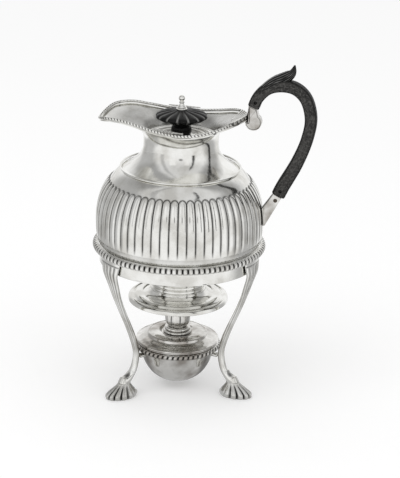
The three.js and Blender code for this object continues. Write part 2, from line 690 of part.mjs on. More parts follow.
function upperSocket() {
  const across = at(upperAlong.z, 0, -upperAlong.x);
  const end = upperEnd.clone().addScaledVector(upperAlong, -GAP);
  const left = end.clone().addScaledVector(across, -HANDLE_WIDTH / 2 + 0.2);
  const right = end.clone().addScaledVector(across, HANDLE_WIDTH / 2 - 1.3);
  const shape = new THREE.Shape();
  shape.moveTo(left.x, left.z);
  shape.lineTo(right.x, right.z);
  shape.absarc(scrollCentre.x, scrollCentre.z, SCROLL_RADIUS, rad(52), rad(-205), true);
  shape.closePath();
  const tenon = flatBar(end.clone().addScaledVector(upperAlong, -2), tenonTip(upperEnd, upperAlong), TENON_WIDTH, TENON_THICK);
  const keepOut = new THREE.BoxGeometry(40, 40, 40);
  keepOut.translate(REAR_REACH + GAP - 20, 0, neckZ + RIM_REAR - 4.4 + 20);
  return cut(
    joined(plateXZ(shape, SCROLL_THICK, 20), tenon),
    jugEnvelope(GAP),
    keepOut,
    rodY(PIN_RADIUS + GAP, -SCROLL_THICK, SCROLL_THICK, upperPin.x, upperPin.z, 12),
  );
}

// Lower socket: a flat tapering arm from the wood down to the belly
function lowerSocket() {
  const across = at(lowerAlong.z, 0, -lowerAlong.x);
  const end = lowerEnd.clone().addScaledVector(lowerAlong, GAP);
  const inner = end.clone().addScaledVector(across, HANDLE_LOW_WIDTH / 2 - 1.6);
  const outer = end.clone().addScaledVector(across, -HANDLE_LOW_WIDTH / 2 + 2.2);
  const shape = new THREE.Shape();
  shape.moveTo(inner.x, inner.z);
  shape.lineTo(outer.x, outer.z);
  shape.lineTo(BELLY_RADIUS + 0.15 * ARM_FOOT, bellyZ + 0.2 * ARM_FOOT);
  shape.lineTo(BELLY_RADIUS - 0.4 * ARM_FOOT, bellyZ);
  shape.lineTo(BELLY_RADIUS - 0.4 * ARM_FOOT, bellyZ + 1.2 * ARM_FOOT);
  shape.closePath();
  const into = lowerAlong.clone().negate();
  const tenon = flatBar(end.clone().addScaledVector(into, -2), tenonTip(lowerEnd, into), TENON_WIDTH, TENON_THICK);
  return cut(
    joined(plateXZ(shape, SOCKET_THICK), tenon),
    jugEnvelope(GAP),
    rodY(PIN_RADIUS + GAP, -SOCKET_THICK, SOCKET_THICK, lowerPin.x, lowerPin.z, 12),
    rodY(PIN_RADIUS + GAP, -SOCKET_THICK, SOCKET_THICK, rivetPoint.x, rivetPoint.z, 12),
  );
}

const crossPin = (p, thick) => rodY(PIN_RADIUS, -thick / 2, thick / 2, p.x, p.z, 12);

// Stand
function standBand() {
  const top = BORDER_BASE - GAP;
  const bottom = top - BAND_HEIGHT;
  return turnedRing([
    [bandRadius - THICK, bottom], [bandRadius, bottom], [bandRadius, top], [bandRadius - THICK, top],
  ], 48);
}

function standBorder() {
  const profile = [[0, 0], [0.7, 0], [1, 0.36], [0.83, 0.74], [0.39, 1], [0, 1]];
  return turnedRing(profile.map(([u, v]) => [seatRadius + u * BORDER_WIDTH, BORDER_BASE + v * BORDER_HEIGHT]), 54);
}

// Leg stations from the top down: centre radius, height, width round the stand, thickness
function legStations() {
  const top = BORDER_BASE - GAP;
  const outer = bandRadius + GAP;
  const waist = LEG_WAIST_RADIUS;
  const wz = LEG_WAIST_HEIGHT;
  const ankle = FOOT_HEIGHT + GAP;
  return [
    [outer + 1.6, top, LEG_TOP_WIDTH, 3], [outer + 1.5, top - 6, 0.9 * LEG_TOP_WIDTH, 2.8],
    [outer + 1.5, top - BAND_HEIGHT - 0.6, 0.78 * LEG_TOP_WIDTH, 2.8], [outer - 2.3, top - 24, 0.6 * LEG_TOP_WIDTH, 3.2],
    [waist + 20, wz + 54, 0.43 * LEG_TOP_WIDTH, 3.8], [waist + 14.7, wz + 41, 0.32 * LEG_TOP_WIDTH, 4.6],
    [waist + 8.6, wz + 27, 1.3 * LEG_THIN, LEG_THIN - 0.4], [waist + 2.6, wz + 11, 1.1 * LEG_THIN, LEG_THIN],
    [waist, wz, LEG_THIN, LEG_THIN], [waist + 0.6, wz - 9, 1.1 * LEG_THIN, LEG_THIN],
    [waist + 3, wz - 17, 1.25 * LEG_THIN, 1.05 * LEG_THIN], [waist + 7.6, wz - 23, 1.5 * LEG_THIN, 1.2 * LEG_THIN],
    [FOOT_RADIUS - 3, ankle, 1.7 * LEG_THIN, 1.9 * LEG_THIN],
  ];
}

// A leg in its own frame, which looks along +X; its sections wrap round the stand's axis
function leg() {
  const stations = legStations();
  const line = new THREE.CatmullRomCurve3(stations.map(([r, z]) => at(r, 0, z)), false, 'centripetal');
  const sides = 10;
  return skin(stations.map(([r, z, width, thick], i) => {
    const ends = i === 0 || i === stations.length - 1;
    const along = ends ? at(0, 0, -1) : line.getTangent(i / (stations.length - 1));
    return around(sides, (turn) => {
      const u = (Math.cos(turn) * thick) / 2;
      const v = (Math.sin(turn) * width) / 2;
      const radius = r - along.z * u;
      return polar(radius, v / r, z + along.x * u);
    });
  }));
}

// Shell foot in the same frame: ribbed fan, scalloped at the outer edge, flat below
function shellFoot() {
  const count = 4 * FOOT_RIBS;
  const levels = [[0, 0.96, 0], [2.6, 1, 0], [5, 0.93, 0], [8.6, 0.68, 1.4], [FOOT_HEIGHT, 0.4, 3]];
  return skin(levels.map(([z, size, back]) => around(count, (turn) => {
    const rib = size > 0.5 && Math.cos(turn) > -0.5 ? 0.05 * Math.cos(2 * FOOT_RIBS * turn) : 0;
    const x = (FOOT_LENGTH / 2) * size * (1 + rib) * Math.cos(turn);
    const y = (FOOT_WIDTH / 2) * size * (1 + rib) * Math.sin(turn) * (1 - 0.12 * Math.cos(turn));
    return at(FOOT_RADIUS - back + x, y, z);
  })));
}

// Spirit burner
function burnerRing() {
  const z = RING_BASE;
  return turnedRing([
    [RING_BORE, z + 1], [RING_RADIUS - 2.6, z], [RING_RADIUS - 0.4, z + 1], [RING_RADIUS, z + 2.6],
    [RING_RADIUS - 0.8, z + RING_HEIGHT - 0.6], [RING_RADIUS - 2, z + RING_HEIGHT], [RING_BORE, z + RING_HEIGHT],
  ], 36);
}

// Short bracket under the burner ring, out to the leg
function burnerBracket() {
  const outer = LEG_WAIST_RADIUS - LEG_THIN / 2 - GAP;
  const inner = RING_BORE + 0.6;
  const bracket = new THREE.BoxGeometry(outer - inner, BRACKET_WIDTH, BRACKET_HEIGHT);
  bracket.translate((outer + inner) / 2, 0, RING_BASE - GAP - BRACKET_HEIGHT / 2);
  return bracket;
}

function burnerBowl() {
  const neck = RING_BORE - GAP;
  const rimBase = ringTopZ + GAP;
  const outside = [
    [0, 0], [0.34 * neck, 0.05], [0.56 * neck, 0.17], [0.74 * neck, 0.34], [0.88 * neck, 0.58], [0.95 * neck, 0.8], [neck, 1],
  ];
  const depth = RING_BASE - BOWL_BASE;
  const low = outside.map(([r, share]) => [r, BOWL_BASE + share * depth]);
  const inner = low.map(([r, z]) => [Math.max(r - WALL, 0), z + (r < neck ? WALL : 0)]).reverse();
  const flange = [
    [neck, rimBase], [COVER_RADIUS - 0.6, rimBase], [COVER_RADIUS - 0.6, rimBase + WALL], [neck - WALL, rimBase + WALL],
  ];
  return turned([...low, ...flange, ...inner], 32);
}

function burnerCover() {
  const hole = HOLDER_PLUG + 2 * GAP + WALL + GAP;
  const step = STEP_RADIUS;
  const outside = [
    [COVER_RADIUS, 0], [COVER_RADIUS, 0.9], [COVER_RADIUS - 3.5, 2], [step + 2.4, 3.6], [step + 0.6, 4.9], [step, 6.7],
    [step - 1.6, 7.4], [0.72 * step, COVER_RISE], [COLLAR_RADIUS + 1, COVER_RISE - COVER_DIP],
    [hole, COVER_RISE - COVER_DIP],
  ];
  const inside = [
    [hole, COVER_RISE - COVER_DIP - WALL], [step - 2, COVER_RISE - 1 - WALL], [step - 0.6, 3.8], [step + 2, 2.4],
    [COVER_RADIUS - 4, 0.9], [COVER_RADIUS - 4, 0],
  ];
  return turnedRing([...outside, ...inside].map(([r, z]) => [r, z + coverZ]), 32);
}

function burnerCollar() {
  const bore = HOLDER_PLUG + GAP;
  const outer = bore + GAP + WALL;
  const top = collarZ + COLLAR_HEIGHT;
  return turnedRing([
    [bore, coverTopZ - 6], [outer, coverTopZ - 6], [outer, collarZ], [COLLAR_RADIUS, collarZ],
    [COLLAR_RADIUS, top - 0.6], [COLLAR_RADIUS - 1, top], [bore, top],
  ], 24);
}

function wickHolder() {
  const bore = WICK_RADIUS + GAP;
  const top = holderZ + HOLDER_HEIGHT;
  return turnedRing([
    [bore, coverTopZ - 24], [TUBE_RADIUS, coverTopZ - 24], [TUBE_RADIUS, coverTopZ - 4], [HOLDER_PLUG, coverTopZ - 4],
    [HOLDER_PLUG, holderZ], [HOLDER_RADIUS, holderZ], [HOLDER_RADIUS, top - 0.6], [HOLDER_RADIUS - 0.8, top],
    [TUBE_RADIUS, top], [TUBE_RADIUS, top + TUBE_STAND], [bore, top + TUBE_STAND],
  ], 24);
}

function wick() {
  const top = holderZ + HOLDER_HEIGHT + TUBE_STAND + 1.5;
  const bottom = BOWL_BASE + 5;
  return turned([[0, bottom], [WICK_RADIUS, bottom], [WICK_RADIUS, top - 0.8], [0, top]], 12);
}

function snufferCap() {
  const outside = [
    [8.7, 0], [9.6, 1.6], [0.95 * CAP_RADIUS, 5.5], [CAP_RADIUS, 9.5], [0.93 * CAP_RADIUS, 13.5],
    [0.7 * CAP_RADIUS, 16.9], [0.38 * CAP_RADIUS, 18.8], [0, CAP_HEIGHT],
  ];
  const inside = [[0, CAP_HEIGHT - 1.5], [0.58 * CAP_RADIUS, 15.8], [0.84 * CAP_RADIUS, 11], [0.82 * CAP_RADIUS, 6], [7.3, 0]];
  const body = turned([...inside, ...outside].map(([r, z]) => [r, z + capZ]), 2 * CAP_LOBES);
  const p = body.attributes.position;
  for (let i = 0; i < p.count; i += 1) {
    const r = Math.hypot(p.getX(i), p.getY(i));
    const share = THREE.MathUtils.clamp((p.getZ(i) - capZ) / CAP_HEIGHT, 0, 1);
    const turn = Math.atan2(p.getY(i), p.getX(i));
    const groove = r > 1 ? 0.05 * Math.sin(Math.PI * share) * (0.5 - 0.5 * Math.cos(CAP_LOBES * turn)) : 0;
    p.setX(i, p.getX(i) * (1 - groove));
    p.setY(i, p.getY(i) * (1 - groove));
  }
  return body;
}

// Assembly
add('jug_body', jugBody());
add('jug_neck_wire', neckWire());
add('jug_rim_border', rimBorder());
add('jug_rear_shell', rearShell());
add('jug_rim_leaf_near', rimLeaf(-1));
add('jug_rim_leaf_far', rimLeaf(1));
add('jug_foot', jugFoot());
add('lid_bearer_ring', lidBearer());
add('hinge_knuckle_near', knuckle(-HINGE_HALF, -LID_KNUCKLE_HALF - 0.2));
add('hinge_knuckle_far', knuckle(LID_KNUCKLE_HALF + 0.2, HINGE_HALF));
add('hinge_pin', rodY(HINGE_PIN_RADIUS, -HINGE_HALF, HINGE_HALF, hingeX, hingeZ));
add('lid', lidPlate());
add('lid_knuckle', knuckle(-LID_KNUCKLE_HALF, LID_KNUCKLE_HALF));
add('finial_stud', finialStud());
add('finial', finial(), EBONY);
add('finial_washer', finialWasher());
add('finial_nut', finialNut());
add('handle', handleWood(), WOOD);
add('handle_upper_socket', upperSocket());
add('handle_lower_socket', lowerSocket());
add('handle_upper_pin', crossPin(upperPin, HANDLE_THICK), WOOD);
add('handle_lower_pin', crossPin(lowerPin, HANDLE_THICK), WOOD);
add('handle_lower_rivet', crossPin(rivetPoint, SOCKET_THICK));
add('stand_band', standBand());
add('stand_border', standBorder());
for (let i = 0; i < LEG_COUNT; i += 1) {
  const side = new THREE.Group();
  side.rotation.z = rad(LEG_TURN) - (2 * Math.PI * i) / LEG_COUNT;
  object.add(side);
  add(`leg_${i + 1}`, leg(), SILVER, side);
  add(`shell_foot_${i + 1}`, shellFoot(), SILVER, side);
  add(`burner_bracket_${i + 1}`, burnerBracket(), SILVER, side);
}
add('burner_ring', burnerRing());
add('burner_bowl', burnerBowl());
add('burner_cover', burnerCover());
add('burner_collar', burnerCollar());
add('wick_holder', wickHolder());
add('wick', wick(), COTTON);
add('snuffer_cap', snufferCap());

// The origin is the middle of the whole object's outline, on the table
object.updateMatrixWorld(true);
const bounds = new THREE.Box3().setFromObject(object, true);
object.position.set(-(bounds.min.x + bounds.max.x) / 2, -(bounds.min.y + bounds.max.y) / 2, -bounds.min.z);

export default object;
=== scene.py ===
"""Silver hot-water jug with a hinged lid and a wooden handle, on a lampstand with a spirit burner.

Lengths are millimetres from the jug's upright axis and the table, until a piece is made in metres in the
frame. The handle points to +X and the spout to -X. A part is its points, faces, crease and flow. Crease is a
mark from 0 to 1, mostly how deep in a groove a point lies: on the silver it is tarnish in the grooves and
painted shade in the mouth, over the feet and on an arm's side; on the ebony it is a painted highlight; on
the dark wood it is painted shade on the handle's bevels; on the wick it is scorch. Flow is a point's place
along, across and through a bar.
"""

import math
import bmesh
import bpy
import numpy as np
from mathutils import Matrix, Vector

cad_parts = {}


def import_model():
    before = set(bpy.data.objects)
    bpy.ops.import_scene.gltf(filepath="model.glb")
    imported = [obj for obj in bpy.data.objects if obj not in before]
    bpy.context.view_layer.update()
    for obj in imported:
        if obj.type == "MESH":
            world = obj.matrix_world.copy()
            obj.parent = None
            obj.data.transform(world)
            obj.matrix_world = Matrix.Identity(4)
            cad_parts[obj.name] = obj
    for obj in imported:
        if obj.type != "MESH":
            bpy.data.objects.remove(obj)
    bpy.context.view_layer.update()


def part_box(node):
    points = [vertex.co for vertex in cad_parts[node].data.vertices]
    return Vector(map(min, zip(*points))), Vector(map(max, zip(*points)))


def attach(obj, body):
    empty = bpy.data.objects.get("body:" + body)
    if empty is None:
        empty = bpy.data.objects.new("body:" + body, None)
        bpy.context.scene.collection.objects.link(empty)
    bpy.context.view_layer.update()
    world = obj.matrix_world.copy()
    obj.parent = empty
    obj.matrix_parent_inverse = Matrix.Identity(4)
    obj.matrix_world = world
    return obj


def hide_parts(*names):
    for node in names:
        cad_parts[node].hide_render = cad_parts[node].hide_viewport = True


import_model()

MM = 0.001
TAU = 2 * math.pi
border_low, border_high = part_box("stand_border")
AXIS = np.array([(border_low.x + border_high.x) / 2, (border_low.y + border_high.y) / 2, 0])


def span(node):
    """Lowest and highest corner of a CAD node, in millimetres from the jug's axis"""
    low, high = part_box(node)
    return (np.array(low) - AXIS) / MM, (np.array(high) - AXIS) / MM


def extent(node):
    """Outer radius, lowest and highest point of a CAD node that stands round the jug's axis"""
    low, high = span(node)
    return high[0], low[2], high[2]


# Sizes, as in the solids
GAP = 0.3
WALL = 1.0
THICK = 1.2
LEG_COUNT = 3
LEG_TURN = math.radians(-16)
BORDER_WIDTH = 4.6
BORDER_TEETH = 100
LEG_TOP_WIDTH = 30
LEG_THIN = 5.6
LEG_WAIST_RADIUS = 43.6
LEG_WAIST_HEIGHT = 40
LEG_REEDS = 5
FOOT_RADIUS = 59
FOOT_LENGTH = 30
FOOT_WIDTH = 20
FOOT_RIBS = 9
RING_TEETH = 52
COLLAR_RADIUS = 12.8
CAP_LOBES = 8
BELLY_RADIUS = 73.2
BELLY_ABOVE = 60
BELLY_BELOW = 49
BELLY_POWER = 2.5
LOBES = 60
LOBE_DEPTH = 1.2
LOBE_BELOW = 11
LOBE_ABOVE = 39.3
SHOULDER_RISE = 48.8
NECK_RADIUS = 32.5
NECK_HEIGHT = 22.5
NECK_FOOT_RADIUS = 49.5
NECK_POWER = 2.25
SPOUT_REACH = 71
REAR_REACH = 57.5
MOUTH_HALF = 43
RIM_SPOUT_TIP = 18.5
RIM_SPOUT = 25.3
RIM_SIDE = 17.8
RIM_REAR = 27.2
RIM_BEAD = 1.6
RIM_PITCH = 2.9
SHELL_HALF_ANGLE = math.radians(27)
SHELL_LENGTH = 14
SHELL_RIBS = 9
LEAF_TURN = math.radians(97)
LEAF_HALF_ANGLE = math.radians(19)
LEAF_WIDTH = 5.4
STUD_RADIUS = 1.4
FINIAL_FLUTES = 14
HANDLE_THICK = 10
HANDLE_WIDTH = 10.15
HANDLE_LOW_WIDTH = 11.9
HANDLE_END_OUT = 4.4
HANDLE_END_RISE = 36
HANDLE_REACH = 49
HANDLE_RISE = 19.7
LOWER_END_OUT = 12.5
LOWER_END_RISE = 30.6
LEAF_RISE = 37.9
THUMB_WIDTH = 9
SOCKET_THICK = 9
SCROLL_RADIUS = 7
SCROLL_THICK = 7.6
SCROLL_OUT = 4.8
SCROLL_RISE = 22.7
ARM_FOOT = 15
TENON_THICK = 3
TENON_LENGTH = 12
PIN_RADIUS = 1.2
PIN_INSET = 4.6
KNUCKLE = {"bore": 0.98, "soft": 0.3, "columns": 48}
RING_WIDTH = 5
PLUG_RADIUS = 7.6

# Camera and studio: the target in millimetres, distances in metres, pixels of the photo
CAMERA_TURN = math.radians(10)
CAMERA_RISE = math.radians(19.7)
CAMERA_ROLL = math.radians(1.13)
CAMERA_TARGET = 137.3
FOCAL_PIXELS = 1710
FRAME_WIDTH = 400
AXIS_COLUMN = 179.2
CAMERA_DISTANCE = 1.5
MIRROR_DISTANCE = 2.2
FLOOR_HALF = 12
TABLE_RISE = 0.0004

# Heights that the frame gives
SHOULDER_Z = span("jug_neck_wire")[0][2]
NECK_Z = SHOULDER_Z + NECK_HEIGHT
BELLY_Z = SHOULDER_Z - SHOULDER_RISE
LOBE_TOP = BELLY_Z + LOBE_ABOVE
LOBE_FOOT = BELLY_Z - LOBE_BELOW


# Lines and profiles

def joined(*coordinates):
    """Points from their coordinates"""
    return np.stack(np.broadcast_arrays(*coordinates), axis=-1)


def column(start, end, count):
    """Even steps from one value to another, one to a row"""
    return np.linspace(start, end, count)[:, None]


def unit(vectors):
    return vectors / np.maximum(np.linalg.norm(vectors, axis=1, keepdims=True), 1e-9)


def spline(points, count, closed=False):
    """Centripetal Catmull-Rom curve through the points"""
    points = np.array(points, float)
    if closed:
        points = np.vstack([points[-1], points, points[:2]])
    else:
        points = np.vstack([2 * points[0] - points[1], points, 2 * points[-1] - points[-2]])
    knots = np.maximum(np.linalg.norm(np.diff(points, axis=0), axis=1), 1e-9) ** 0.5
    spans = len(points) - 3
    place = np.linspace(0, spans, count, endpoint=not closed)
    cell = np.minimum(place.astype(int), spans - 1)
    t = (place - cell)[:, None]
    p0, p1, p2, p3 = (points[cell + k] for k in range(4))
    k0, k1, k2 = (knots[cell + k][:, None] for k in range(3))
    start = ((p1 - p0) / k0 - (p2 - p0) / (k0 + k1) + (p2 - p1) / k1) * k1
    end = ((p2 - p1) / k1 - (p3 - p1) / (k1 + k2) + (p3 - p2) / k2) * k1
    return p1 + start * t + (3 * (p2 - p1) - 2 * start - end) * t**2 + (2 * (p1 - p2) + start + end) * t**3


def distances(points):
    """Length along a line up to each of its points"""
    return np.concatenate([[0], np.cumsum(np.linalg.norm(np.diff(points, axis=0), axis=1))])


def evenly(points, count):
    """The same line with its points spaced evenly along it"""
    points = np.array(points, float)
    length = distances(points)
    place = np.linspace(0, length[-1], count)
    return joined(*(np.interp(place, length, values) for values in points.T))


def rounded(corners, steps=4, closed=True):
    """Profile with rounded corners, from corners given as radius, height and how far the rounding reaches"""
    points = []
    count = len(corners)
    for i, (r, z, reach) in enumerate(corners):
        here = np.array([r, z], float)
        if reach == 0 or (not closed and i in (0, count - 1)):
            points.append(here)
            continue
        before = np.array(corners[i - 1][:2], float) - here
        after = np.array(corners[(i + 1) % count][:2], float) - here
        a = here + before * min(reach / np.linalg.norm(before), 0.48)
        b = here + after * min(reach / np.linalg.norm(after), 0.48)
        for t in np.linspace(0, 1, steps + 1):
            points.append((1 - t) ** 2 * a + 2 * t * (1 - t) * here + t * t * b)
    return np.array(points)


def inside(outer, base, corners):
    """Corners for rounded, from how far each lies inside a radius and above a height"""
    return [(outer - depth, base + rise, reach) for depth, rise, reach in corners]


def circle(count):
    return np.arange(count) / count * TAU


def arc(centre, radii, start, end, count):
    turn = np.radians(np.linspace(start, end, count))
    return joined(centre[0] + radii[0] * np.cos(turn), centre[1] + radii[1] * np.sin(turn))


def around(r, angle, z):
    """Points at a radius and a direction from the jug's axis, and a height"""
    return joined(r * np.cos(angle), r * np.sin(angle), z)


def powered(value, power):
    """A power that keeps the sign, to square or sharpen a circle"""
    return np.sign(value) * np.abs(value) ** power


def outward(profile, closed=True):
    """Unit normals of a profile in its own plane, to the right of its direction"""
    if closed:
        along = np.roll(profile, -1, axis=0) - np.roll(profile, 1, axis=0)
    else:
        along = np.gradient(profile, axis=0)
    return unit(along) @ [[0, -1], [1, 0]]


def ease(value, low, high):
    """0 up to low and 1 from high on, or the other way round, with a straight line between them"""
    return np.clip((value - low) / (high - low), 0, 1)


def bell(value, width):
    """1 at 0, falling off smoothly on both sides"""
    return np.exp(-((value / width) ** 2))


def swell(u, square=2.0, steep=0.6):
    """Height of a convex rib across its width: 1 on its crest at u = 0, 0 in the creases at u = -1 and 1"""
    return (1 - np.minimum(np.abs(u), 1) ** square) ** steep


def dark_between(u, start, full):
    """Darkness across a rib: none on its crest, full in the creases beside it"""
    t = ease(np.abs(u), start, full)
    return t * t * (3 - 2 * t)


def across_ribs(place):
    """Place across one of many ribs, from -1 to 1, where whole numbers are the crests"""
    return 2 * ((place + 0.5) % 1 - 0.5)


# Meshes

def skin(rings, closed=False, crease=0, flow=0):
    """A closed part over rings of points"""
    rows, columns, _ = rings.shape
    here = np.arange(rows * columns).reshape(rows, columns)
    following = np.roll(here, -1, axis=1)
    quads = joined(here, following, np.roll(following, -1, axis=0), np.roll(here, -1, axis=0))
    faces = quads[:rows if closed else -1].reshape(-1, 4).tolist()
    if not closed:
        faces += [here[0, ::-1].tolist(), here[-1].tolist()]
    crease = np.broadcast_to(crease, (rows, columns)).reshape(-1)
    return rings.reshape(-1, 3), faces, crease, np.broadcast_to(flow, rings.shape).reshape(-1, 3)


def turned(profile, columns=192, closed=True, relief=0, crease=0):
    """A body of revolution; relief and crease are arrays over the profile's points and the columns"""
    profile = np.array(profile, float)
    normal = outward(profile, closed)
    r = profile[:, :1] + normal[:, :1] * relief
    z = profile[:, 1:] + normal[:, 1:] * relief
    return skin(around(r, circle(columns), z), closed, crease)


def turned_about_y(profile, x, z, columns):
    """The same about an axis along Y at x and z; the profile is given as radius and Y"""
    verts, *rest = turned(profile, columns)
    return joined(verts[:, 0] + x, verts[:, 2], verts[:, 1] + z), *rest


def rotated(part, angle):
    verts, *rest = part
    c, s = math.cos(angle), math.sin(angle)
    return verts @ [[c, s, 0], [-s, c, 0], [0, 0, 1]], *rest


def plate(outline, thick, rim=0.0, recess=0.0, edge=0.5, painted_shade_side=0.0):
    """A plate across the plane y = 0 from its outline in x and z; its rim is raised, its side towards -X painted
    darker, a painted shade
    """
    outline = np.array(outline, float)
    area = np.sum(outline[:, 0] * np.roll(outline[:, 1], -1) - np.roll(outline[:, 0], -1) * outline[:, 1])
    inward = outward(outline) if area < 0 else -outward(outline)
    half = thick / 2
    layers = [(edge, half), (0.3 * edge, half - 0.3 * edge), (0, half - edge)]
    if rim:
        layers = [(rim + edge, half - recess), (rim, half - recess), (rim - 0.35, half)] + layers
    layers = layers + [(inset, -y) for inset, y in reversed(layers)]
    inset, y = np.array(layers).T[:, :, None]
    rings = joined(outline[:, 0] + inward[:, 0] * inset, y, outline[:, 1] + inward[:, 1] * inset)
    line = 0.9 * (inset == rim) if rim else 0
    return skin(rings, crease=line + painted_shade_side * (inset < 0.5 * edge) * (inward[:, 0] > 0.4))


def outward_faces(mesh):
    shape = bmesh.new()
    shape.from_mesh(mesh)
    bmesh.ops.recalc_face_normals(shape, faces=shape.faces)
    shape.to_mesh(mesh)
    shape.free()


def linked(name, data):
    """A new object in the scene"""
    thing = bpy.data.objects.new(name, data)
    bpy.context.scene.collection.objects.link(thing)
    return thing


def mesh_of(name, points, faces):
    mesh = bpy.data.meshes.new(name)
    mesh.from_pydata(points.tolist(), [], faces)
    return mesh


def give(mesh, name, kind, key, values):
    """Stores a value at each point of a mesh"""
    mesh.attributes.new(name, kind, "POINT").data.foreach_set(key, values.astype(np.float32).ravel())


def piece(name, body, node, *parts, material=None, slot="silver", sharp=38):
    """One object from its parts, riding on a body and standing for a CAD node; silver by default"""
    verts, all_faces, creases, flows = zip(*parts)
    starts = np.cumsum([0] + [len(points) for points in verts])
    faces = [[i + start for i in face] for start, some in zip(starts, all_faces) for face in some]
    mesh = mesh_of(name, np.vstack(verts) * MM + AXIS, faces)
    give(mesh, "crease", "FLOAT", "value", np.concatenate(creases))
    give(mesh, "flow", "FLOAT_VECTOR", "vector", np.vstack(flows) * MM)
    outward_faces(mesh)
    mesh.shade_smooth()
    mesh.set_sharp_from_angle(angle=math.radians(sharp))
    mesh.materials.append(material or SILVER)
    thing = linked(name, mesh)
    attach(thing, body)
    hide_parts(node)
    return thing


def drilled(thing, cutters):
    """Takes the cutters out of a piece"""
    for verts, faces, _, _ in cutters:
        mesh = mesh_of("cutter", verts * MM + AXIS, faces)
        outward_faces(mesh)
        cutter = linked("cutter", mesh)
        hole = thing.modifiers.new("hole", "BOOLEAN")
        hole.operation = "DIFFERENCE"
        hole.solver = "EXACT"
        hole.use_self = True
        hole.object = cutter
        depsgraph = bpy.context.evaluated_depsgraph_get()
        result = bpy.data.meshes.new_from_object(thing.evaluated_get(depsgraph))
        thing.modifiers.clear()
        thing.data = result
        bpy.data.objects.remove(cutter)


# Materials

class Nodes:
    """A node tree, with short calls to add and join nodes"""

    def __init__(self, owner, clear=False):
        owner.use_nodes = True
        self.tree = owner.node_tree
        if clear:
            self.tree.nodes.clear()

    def put(self, socket, value):
        """Sets an input, or joins another node's output to it"""
        if isinstance(value, bpy.types.NodeSocket):
            self.tree.links.new(value, socket)
        else:
            socket.default_value = value

    def add(self, kind, **settings):
        node = self.tree.nodes.new("ShaderNode" + kind)
        for key, value in settings.items():
            if key in node.inputs:
                self.put(node.inputs[key], value)
            else:
                setattr(node, key, value)
        return node

    def attribute(self, name, output="Fac"):
        return self.add("Attribute", attribute_name=name).outputs[output]

    def noise(self, place, scale, detail, stretch=(1, 1, 1)):
        mapping = self.add("Mapping", Vector=place, Scale=stretch)
        return self.add("TexNoise", Vector=mapping.outputs[0], Scale=scale, Detail=detail).outputs["Fac"]

    def ramp(self, factor, stops):
        ramp = self.add("ValToRGB", Fac=factor)
        elements = ramp.color_ramp.elements
        while len(elements) < len(stops):
            elements.new(0.5)
        for element, (place, colour) in zip(elements, stops):
            element.position = place
            element.color = (*colour, 1)
        return ramp.outputs["Color"]

    def spread(self, factor, low, high):
        """A factor taken from its range of 0 to 1 to another one"""
        node = self.add("MapRange", Value=factor)
        self.put(node.inputs["To Min"], low)
        self.put(node.inputs["To Max"], high)
        return node.outputs["Result"]

    def calculated(self, operation, a, b):
        node = self.add("Math", operation=operation)
        self.put(node.inputs[0], a)
        self.put(node.inputs[1], b)
        return node.outputs["Value"]

    def mix(self, factor, a, b):
        """A colour from an output to a constant"""
        node = self.add("Mix", data_type="RGBA")
        for socket, value in ((0, factor), (6, a), (7, (*b, 1))):
            self.put(node.inputs[socket], value)
        return node.outputs[2]

    def bump(self, height, distance, strength, **after):
        node = self.add("Bump", Height=height, Distance=distance, Strength=strength, **after)
        return node.outputs["Normal"]

    def mix_shaders(self, factor, a, b, output):
        """The second shader where the factor is 1, the first elsewhere"""
        mix = self.add("MixShader")
        for socket, value in zip(mix.inputs, (factor, a.outputs[0], b.outputs[0])):
            self.put(socket, value)
        self.add(output, Surface=mix.outputs[0])


class Surface(Nodes):
    """A new material, with the place on the object and the crease mark at hand"""

    def __init__(self, name):
        self.material = bpy.data.materials.new(name)
        super().__init__(self.material)
        self.place = self.add("TexCoord").outputs["Object"]
        self.crease = self.attribute("crease")

    def finished(self, colour, roughness, normal, **constant):
        """Joins or sets the shader's inputs and gives the material"""
        inputs = self.tree.nodes["Principled BSDF"].inputs
        self.put(inputs["Base Color"], colour)
        self.put(inputs["Roughness"], roughness)
        self.put(inputs["Normal"], normal)
        for name, value in constant.items():
            self.put(inputs[name.replace("_", " ")], value)
        return self.material


def grey(value):
    return (value, value, value)


def silver(name, tarnished, middle, bright):
    """Silver from its dull patches to its bright ones, with scratches and faint waves; dark where the crease
    mark is, as tarnish in its grooves and as painted shade in the mouth, over the feet and on an arm's side
    """
    nodes = Surface(name)
    clouds = nodes.noise(nodes.place, 60, 3)
    patches = nodes.noise(nodes.place, 420, 4)
    scratches = nodes.noise(nodes.place, 900, 6, (1, 1, 0.12))
    dents = nodes.noise(nodes.place, 150, 2)
    polish = nodes.ramp(clouds, [(0.36, tarnished), (0.5, middle), (0.64, bright)])
    depth = nodes.calculated("MULTIPLY", nodes.crease, nodes.spread(patches, 0.75, 1.15))
    colour = nodes.mix(depth, polish, (0.035, 0.033, 0.03))
    roughness = nodes.mix(depth, nodes.spread(scratches, 0.07, 0.16), grey(0.42))
    waves = nodes.bump(dents, 0.00009, 0.5, Normal=nodes.bump(clouds, 0.0004, 0.45))
    bump = nodes.bump(scratches, 0.00001, 0.5, Normal=waves)
    return nodes.finished(colour, roughness, bump, Metallic=1)


def ebony():
    """Black turned wood, waxed, with fine pores; where the crease mark is it turns light grey, a painted
    highlight on the finial's flutes and the leaf's veins
    """
    nodes = Surface("ebony")
    pores = nodes.noise(nodes.place, 1600, 4, (1, 1, 0.2))
    clouds = nodes.noise(nodes.place, 140, 3)
    wood = nodes.ramp(clouds, [(0.3, grey(0.002)), (0.75, (0.007, 0.0068, 0.0065))])
    # light lines where the crease mark is: painted highlight
    colour = nodes.mix(nodes.crease, wood, (0.3, 0.298, 0.29))
    roughness = nodes.spread(pores, 0.26, 0.42)
    bump = nodes.bump(pores, 0.00004, 0.5)
    return nodes.finished(colour, roughness, bump, Specular_IOR_Level=0.18)


